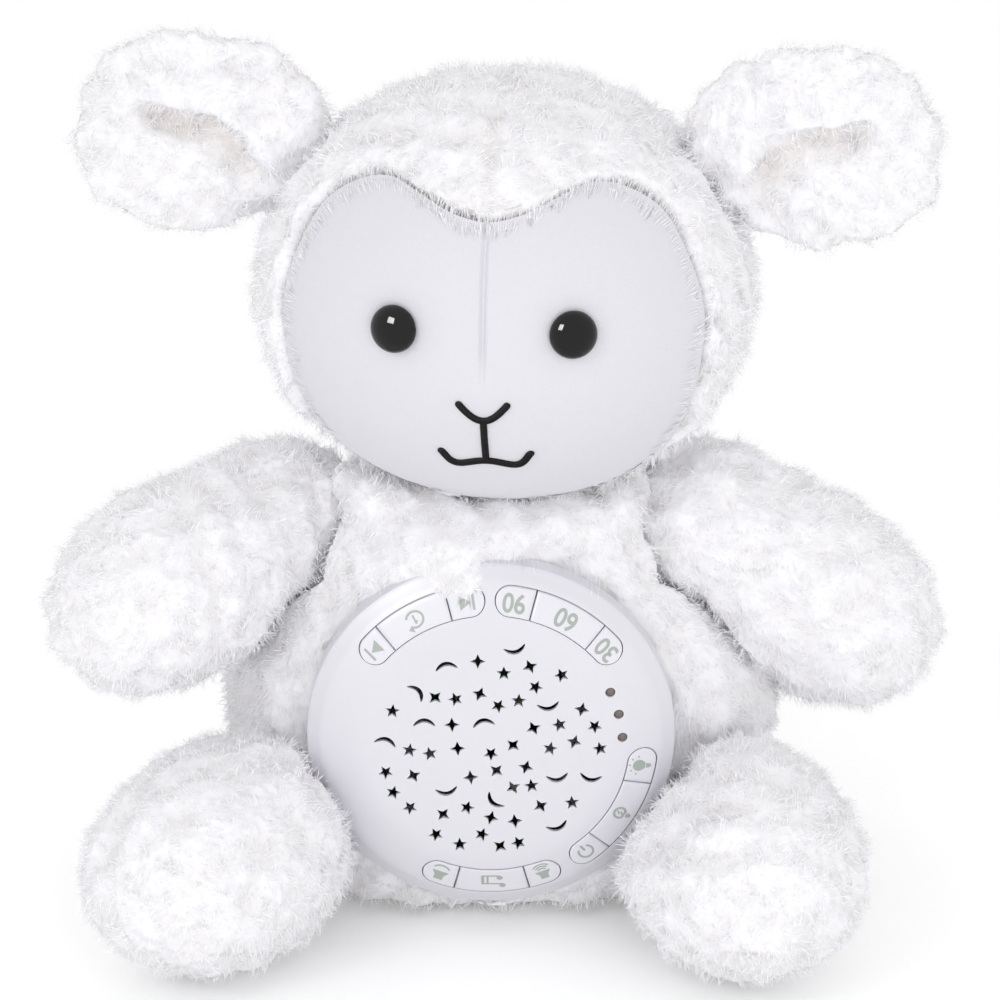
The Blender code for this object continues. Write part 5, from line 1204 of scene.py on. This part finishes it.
for name, x in zip(("left", "right"), EYES[0]):
    z = EYES[1]
    a, b, c = HEAD_HALF - FACE_DEPTH + GAP
    y = -b * math.sqrt(1.0 - (x / a) ** 2 - (z / c) ** 2)
    out = np.array((x / a**2, y / b**2, z / c**2))
    out /= np.linalg.norm(out)
    side = np.cross((0.0, 0.0, 1.0), out)
    side /= np.linalg.norm(side)
    axes = np.stack((side, np.cross(out, side), out))
    seat = np.array((x, y, z)) - EYE_SUNK * out
    points, quads = gridded(turned(eye_profile, 64), round_columns=True)
    mesh = meshed(name + "_eye_dome", on_head(points @ axes + seat), quads)
    piece(name + "_eye_dome", mesh, "head", glossy_black, 60.0, [name + "_eye"])
    points, quads = gridded(turned(washer_profile, 48), round_rows=True, round_columns=True)
    mesh = meshed(name + "_eye_washer_disc", on_head(points @ axes + seat), quads)
    piece(name + "_eye_washer_disc", mesh, "head", nylon, 40.0, [name + "_eye_washer"])
print("eyes at", np.round(EYES[0] / MM, 1), "mm")

# %% [markdown]
# ## Nose and mouth
# They are satin stitch: black thread laid side by side across each line, so every line is a rounded
# ridge with fine ribs across it. A half-round section is carried along each line's path on the face,
# and it swells and dips once for every thread, 0.4 mm apart.

# %% Stitching
THREAD = 0.0004
LINES = (
    ((-0.098, -0.222), (-0.050, -0.285), (0.0, -0.312), (0.050, -0.285), (0.098, -0.222)),
    ((0.0, -0.300), (0.0, -0.42), (0.0, -0.525)),
    ((-0.175, -0.500), (-0.140, -0.535), (-0.080, -0.550), (0.0, -0.532), (0.080, -0.550), (0.140, -0.535),
     (0.175, -0.500)),
)


def satin_line(line, width=0.0021, rise=0.0010):
    """A ridge along a smooth path on the face: half round across, ribbed along, and closed at its ends."""
    nodes_on_line = np.array(line) * HEAD_HALF[[0, 2]]
    knots = np.linspace(0.0, 1.0, len(nodes_on_line))
    fit = np.polynomial.polynomial.polyfit(knots, nodes_on_line, min(len(knots) - 1, 6))
    rough = np.polynomial.polynomial.polyval(np.linspace(0.0, 1.0, 400), fit).T
    steps = np.linalg.norm(np.diff(rough, axis=0), axis=1)
    gone = np.concatenate(((0.0,), np.cumsum(steps)))
    count = int(gone[-1] / THREAD) * 6
    at = np.linspace(0.0, gone[-1], count)
    path = np.column_stack([np.interp(at, gone, rough[:, i]) for i in (0, 1)])
    ahead = np.gradient(path, axis=0)
    across = np.stack((-ahead[:, 1], ahead[:, 0]), axis=-1)
    across /= np.linalg.norm(across, axis=1, keepdims=True)
    to_end = np.minimum(at, gone[-1] - at) / (width / 2)
    taper = np.sqrt(np.clip(1.0 - (1.0 - np.minimum(to_end, 1.0)) ** 2, 0.0, 1.0))
    thread = 1.0 - 0.16 * np.abs(np.cos(np.pi * at / THREAD))
    angles = np.linspace(0.0, 2.0 * np.pi, 20, endpoint=False)
    half = width / 2 * (taper * (0.94 + 0.06 * thread))[:, None] * np.cos(angles)
    flat = path[:, None] + across[:, None] * half[..., None]
    lift = rise * (taper * thread)[:, None] * np.maximum(np.sin(angles), -0.45)
    a, b, c = HEAD_HALF - FACE_DEPTH
    y = face_front(flat[..., 0], flat[..., 1])
    points = np.stack((flat[..., 0], y, flat[..., 1]), axis=-1)
    out = points / np.array((a, b, c)) ** 2
    out /= np.linalg.norm(out, axis=-1, keepdims=True)
    return gridded(capped(points + out * (lift + 0.0002)[..., None]), round_columns=True)


thread_black = grained(
    "black_polyester_thread", "#161315", "#1E1B1D", 0.60, 0.25 * MM, 0.03 * MM,
    Specular_IOR_Level=0.15,
)
stitch_points, stitch_quads = heaped([satin_line(line) for line in LINES])
stitch_mesh = meshed("stitching", on_head(stitch_points), stitch_quads)
piece("nose_and_mouth", stitch_mesh, "head", thread_black, 80.0, ["mouth_stitching"])
print("stitching faces:", len(stitch_mesh.polygons))

# %% [markdown]
# ## Loose locks
# Over the tufted surface lie loose locks that make its edge wispy. Hair particles would look right
# but aren't geometry. So the locks are spikes: each stands for a bunch of fibres, has seven points,
# and tapers to nothing. Their roots are spread evenly by area over the skin, and are three times as
# close along the edge of the face, where they hide the step to the velour.

# %% Roots
def sampled(mesh, density, seed):
    """Points spread evenly by area over a mesh, with the smooth normal of the skin at each."""
    mesh.calc_loop_triangles()
    corners = np.empty(len(mesh.loop_triangles) * 3, int)
    mesh.loop_triangles.foreach_get("vertices", corners)
    corners = corners.reshape(-1, 3)
    places, normals = places_of(mesh), normals_of(mesh)
    a, b, c = places[corners].transpose(1, 0, 2)
    area = np.linalg.norm(np.cross(b - a, c - a), axis=1) / 2
    total = np.cumsum(area)
    count = int(total[-1] * density)
    rng = np.random.default_rng(seed)
    pick = np.searchsorted(total, (np.arange(count) + rng.random(count)) / count * total[-1])
    pick = np.minimum(pick, len(corners) - 1)
    u, v = rng.random((2, count))
    u, v = np.where(u + v > 1.0, (1.0 - u, 1.0 - v), (u, v))
    weights = np.stack((1.0 - u - v, u, v), axis=-1)[..., None]
    roots = (places[corners[pick]] * weights).sum(axis=1)
    out = (normals[corners[pick]] * weights).sum(axis=1)
    return roots, out / np.linalg.norm(out, axis=1, keepdims=True)


print("locks grow on", sum(len(skin.data.polygons) for skin in skins.values()), "faces")

# %% [markdown]
# Pile doesn't grow where one form is sewn against another, on the face, or behind the disc. Each form
# is known by a formula here, so a whole array of roots can be asked at once whether it lies inside.

# %% Where no pile grows
TORSO_HEIGHT, TORSO_HALF_WIDTH, TORSO_HALF_DEPTH = 0.151, 0.082, 0.0545
TORSO_LEVELS = np.array((0.0, 0.03, 0.10, 0.22, 0.40, 0.57, 0.72, 0.85, 0.95, 1.0)) * TORSO_HEIGHT
TORSO_WIDTHS = np.array((0.62, 0.83, 0.95, 1.0, 1.0, 0.92, 0.80, 0.65, 0.42, 0.0)) * TORSO_HALF_WIDTH
TORSO_DEPTHS = np.array((0.62, 0.84, 0.96, 1.0, 1.0, 0.94, 0.85, 0.74, 0.50, 0.0)) * TORSO_HALF_DEPTH
# A leg's half length, width and height, the level of its middle, and for the left and the right leg
# the side, how far out its middle lies and how far it points outwards, in degrees
LEG_HALF, LEG_LEVEL = np.array((0.054, 0.038, 0.0352)), 0.0347
LEGS = ((-1, 0.96, 32.0), (1, 0.89, 14.0))


def deep_in_torso(points, depth):
    """Inside a rounded box whose half width and depth change with height, by at least a depth."""
    x, y, z = points.T
    wide = np.maximum(np.interp(z, TORSO_LEVELS, TORSO_WIDTHS) - depth, 1e-4)
    thick = np.maximum(np.interp(z, TORSO_LEVELS, TORSO_DEPTHS) - depth, 1e-4)
    return (np.abs(x) / wide) ** 2.4 + (np.abs(y) / thick) ** 2.4 < 1.0


def deep_in_head(points, depth):
    """Inside the head's ellipsoid, by at least a depth."""
    return (((in_head(points)) / (HEAD_HALF - depth)) ** 2).sum(axis=1) < 1.0


def near_shoulder(points, side, radius):
    joint = next(j for j in frame["joints"] if j["name"] == side + "_arm_raise")
    return np.linalg.norm(points - joint["pos_m"], axis=1) < radius


def deep_in_legs(points, depth):
    """Inside either leg's egg, taken as an ellipsoid along the way it points."""
    inside = np.zeros(len(points), bool)
    for side, across, spread in LEGS:
        middle = np.array((side * across * TORSO_HALF_WIDTH, -1.20 * TORSO_HALF_DEPTH, LEG_LEVEL))
        way = np.array((side * math.sin(math.radians(spread)), -math.cos(math.radians(spread)), 0.0))
        offset = points - middle
        ahead = offset @ way
        aside = offset @ np.array((-way[1], way[0], 0.0))
        half = LEG_HALF - depth
        inside |= (ahead / half[0]) ** 2 + (aside / half[1]) ** 2 + (offset[:, 2] / half[2]) ** 2 < 1.0
    return inside


def bare_face(points, margin):
    """On the front of the head and inside the face's outline, by at least a margin."""
    x, y, z = in_head(points).T
    x = np.abs(x) + margin
    return (y < 0.004) & (x < FACE_WIDE) & (z < face_top(x) - margin) & (z > face_foot(x) + margin)


def grows(name, roots, out):
    """True where a form's pile grows."""
    bare = np.zeros(len(roots), bool)
    across, up, ahead = on_disc(roots)
    if name == "torso":
        radius = np.hypot(across, up)
        sunk_in = ahead < cover_height(np.minimum(radius, DISC_RADIUS)) + 0.0002
        behind_disc = (radius < DISC_RADIUS + 0.0015) & (roots[:, 1] < 0.0) & sunk_in
        bare |= behind_disc | deep_in_head(roots, 0.010) | deep_in_legs(roots, 0.008)
        bare |= near_shoulder(roots, "left", 0.0255) | near_shoulder(roots, "right", 0.0255)
    elif name == "head":
        bare |= bare_face(roots, 0.0005) | deep_in_torso(roots, 0.012)
    elif "leg" in name:
        bare |= deep_in_torso(roots, 0.010)
    elif "arm" in name:
        bare |= deep_in_torso(roots, 0.014)
    elif "ear" in name:
        bare |= deep_in_head(roots, 0.009)
    under = (roots[:, 2] < 0.012) & (out[:, 2] < -0.6)
    thinned = under & (np.arange(len(roots)) % 3 > 0)
    return ~bare & ~thinned


# %% [markdown]
# ## Growing the locks
# All locks of a form are worked out together. Each starts just inside the tufted surface, rises, and bends over
# towards where it is combed: down, along the limb, up the slope of the tuft field, and over the edge of the face.
# Locks that would reach into the table, the disc or the face are pushed back to lie on it, as pile does. Each
# takes its tone from a small palette of lighter and darker copies of one white, as painted shade: darker at the
# root and in the dips of the tufts, lighter at the tip and on the tufts, with a random spread. Its faces are flat:
# shaded smooth, so thin a spike would look grey.

# %% Locks
# Lighter and darker copies of one white, used for painted shade on the locks
PAINTED_PILE_SHADES = [
    finish(f"plush_pile_painted_shade_{index}", colour, 0.85, Sheen_Weight=0.15, Sheen_Roughness=0.5)
    for index, colour in enumerate(("#F2F1F1", "#F5F4F5", "#F8F7F9", "#F9F9FC", "#FBFBFD", "#FCFCFE"))
]


ROOT_DEPTH = 0.0008


def locks(roots, out, comb, length, width, rng):
    """Seven points a lock: a narrow root, a wide, flat middle that lies along the skin, and a tip."""
    count = len(roots)
    aside = comb - out * (comb * out).sum(axis=1, keepdims=True)
    lean = np.linalg.norm(aside, axis=1, keepdims=True)
    aside /= np.maximum(lean, 1e-9)
    angle = np.arctan(lean) * rng.uniform(0.8, 1.15, (count, 1))
    start = out * np.cos(0.7 * angle) + aside * np.sin(0.7 * angle)
    end = out * np.cos(1.25 * angle) + aside * np.sin(1.25 * angle)
    base = roots - out * ROOT_DEPTH
    bend = base + start * length * 0.5
    tip = bend + end * length * 0.5
    across = np.cross(start, out + 0.45 * rng.normal(size=(count, 3)))
    across /= np.linalg.norm(across, axis=1, keepdims=True)
    ridge = np.cross(across, end)
    ring = np.stack((-across, 0.45 * ridge, across), axis=1) * width[:, None] / 2
    return np.concatenate((base[:, None] + 0.4 * ring, bend[:, None] + ring, tip[:, None]), axis=1)


OVER_TABLE, OVER_DISC, OVER_FACE = 0.0002, 0.0012, 0.0009


def kept_off(points):
    """Keeps points out of the table, the module and the velour by moving them on to its surface."""
    shape = points.shape
    flat = points.reshape(-1, 3)
    flat[:, 2] = np.maximum(flat[:, 2], OVER_TABLE)
    across, up, ahead = on_disc(flat)
    radius = np.hypot(across, up)
    lift = cover_height(radius) + OVER_DISC
    over = (radius < DISC_RADIUS + 0.0006) & (ahead < lift) & (ahead > -0.02)
    flat[over, 1] = RIM_PLACE[1] - lift[over]
    x, y, z = in_head(flat).T
    front = face_front(x, z) - OVER_FACE
    below = (y < 0.0) & (y > front) & (np.abs(x) < FACE_WIDE)
    below &= (z < face_top(x) - 0.0008) & (z > face_foot(x) + 0.0008)
    local = np.column_stack((x, np.where(below, front, y), z))
    flat[below] = on_head(local)[below]
    return flat.reshape(shape)


def pile_mesh(name, points, root_shade, tip_shade):
    """A mesh of locks: a cap, three quads and three triangles to the tip, with a shade for each half."""
    count = len(points)
    corner = np.arange(3)
    after = (corner + 1) % 3
    quads = np.stack((corner, after, after + 3, corner + 3), axis=-1)
    tips = np.stack((corner + 3, after + 3, np.full(3, 6)), axis=-1)
    loops = np.concatenate(((2, 1, 0), quads.ravel(), tips.ravel()))
    sizes = np.array([3] + [4] * 3 + [3] * 3)
    loop_index = (loops + 7 * np.arange(count)[:, None]).ravel()
    face_starts = np.concatenate(((0,), np.cumsum(np.tile(sizes, count))[:-1]))
    mesh = bpy.data.meshes.new(name)
    mesh.vertices.add(7 * count)
    mesh.vertices.foreach_set("co", points.ravel())
    mesh.loops.add(len(loop_index))
    mesh.loops.foreach_set("vertex_index", loop_index)
    mesh.polygons.add(7 * count)
    mesh.polygons.foreach_set("loop_start", face_starts)
    index = np.column_stack([root_shade] * 4 + [tip_shade] * 3)
    mesh.polygons.foreach_set("material_index", index.ravel().astype(np.int32))
    for material in PAINTED_PILE_SHADES:
        mesh.materials.append(material)
    mesh.update(calc_edges=True)
    mesh.shade_flat()
    return mesh


def near_face(places):
    """How near places on the head are to the face's edge: 1 within 1.5 mm of it, 0 from 6 mm on."""
    x, y, z = in_head(places).T
    return faded(-outside_face(x, z), -0.0060, -0.0015) * (y < 0.0)


# Locks to the square metre, how much closer they stand near the face, and most in one piece
DENSITY, EDGE_DENSER, MOST_LOCKS = 0.58e6, 3.0, 19500
MEAN_LENGTH, THINNEST, THICKEST = 0.0048, 0.00016, 0.00032
grown = 0
for seed, (name, comb) in enumerate(COMB.items()):
    rng = np.random.default_rng(seed)
    on_the_head = name == "head"
    roots, out = sampled(skins[name].data, DENSITY * (EDGE_DENSER if on_the_head else 1.0), seed)
    keep = grows(name, roots, out)
    if on_the_head:
        keep &= rng.random(len(roots)) < np.maximum(near_face(roots), 1.0 / EDGE_DENSER)
    roots, out = roots[keep], out[keep]
    count = len(roots)
    wide_field, wide_slope = waves(roots, 0.012, seed + 100)
    fine_field, fine_slope = waves(roots, 0.0055, seed + 200)
    tuft = 0.6 * wide_field + 0.4 * fine_field
    lean = 1.4 * np.array(comb) + 1.2 * wide_slope + 1.2 * fine_slope + 0.4 * rng.normal(size=(count, 3))
    if on_the_head:
        x, y, z = in_head(roots).T
        edge_near = near_face(roots)
        to_face = -np.column_stack((x, 0.0 * y, z)) / np.hypot(x, z)[:, None]
        lean = lean * (1.0 - 0.7 * edge_near)[:, None] + 1.6 * edge_near[:, None] * (to_face @ YAW.T)
    length = MEAN_LENGTH * (1.0 + 0.14 * np.clip(tuft, -1.5, 1.5)) * rng.uniform(0.82, 1.15, count)
    width = rng.uniform(THINNEST, THICKEST, count)[:, None]
    points = locks(roots, out, lean, length[:, None], width, rng)
    points = kept_off(points)
    # Painted shade: darker tones in the tufts' dips and at the root, lighter ones on the tufts and at the tip,
    # with a random spread
    tone = 3.4 + 0.7 * np.clip(tuft, -1.5, 1.5) + rng.normal(size=count) * 0.5
    tip_shade = np.clip(np.rint(tone), 2, 5)
    root_shade = np.clip(np.rint(tone - 1.8), 0, 4)
    order = np.argsort(roots[:, 2], kind="stable")
    parts = np.array_split(order, math.ceil(count / MOST_LOCKS))
    for index, part in enumerate(parts):
        label = f"{name}_pile_{index + 1}" if len(parts) > 1 else f"{name}_pile"
        mesh = pile_mesh(label, points[part], root_shade[part], tip_shade[part])
        piece(label, mesh, SKINS[name][0], None)
    grown += count
    print(name, "locks:", count, "in", len(parts), "pieces")
print("locks in all:", grown)
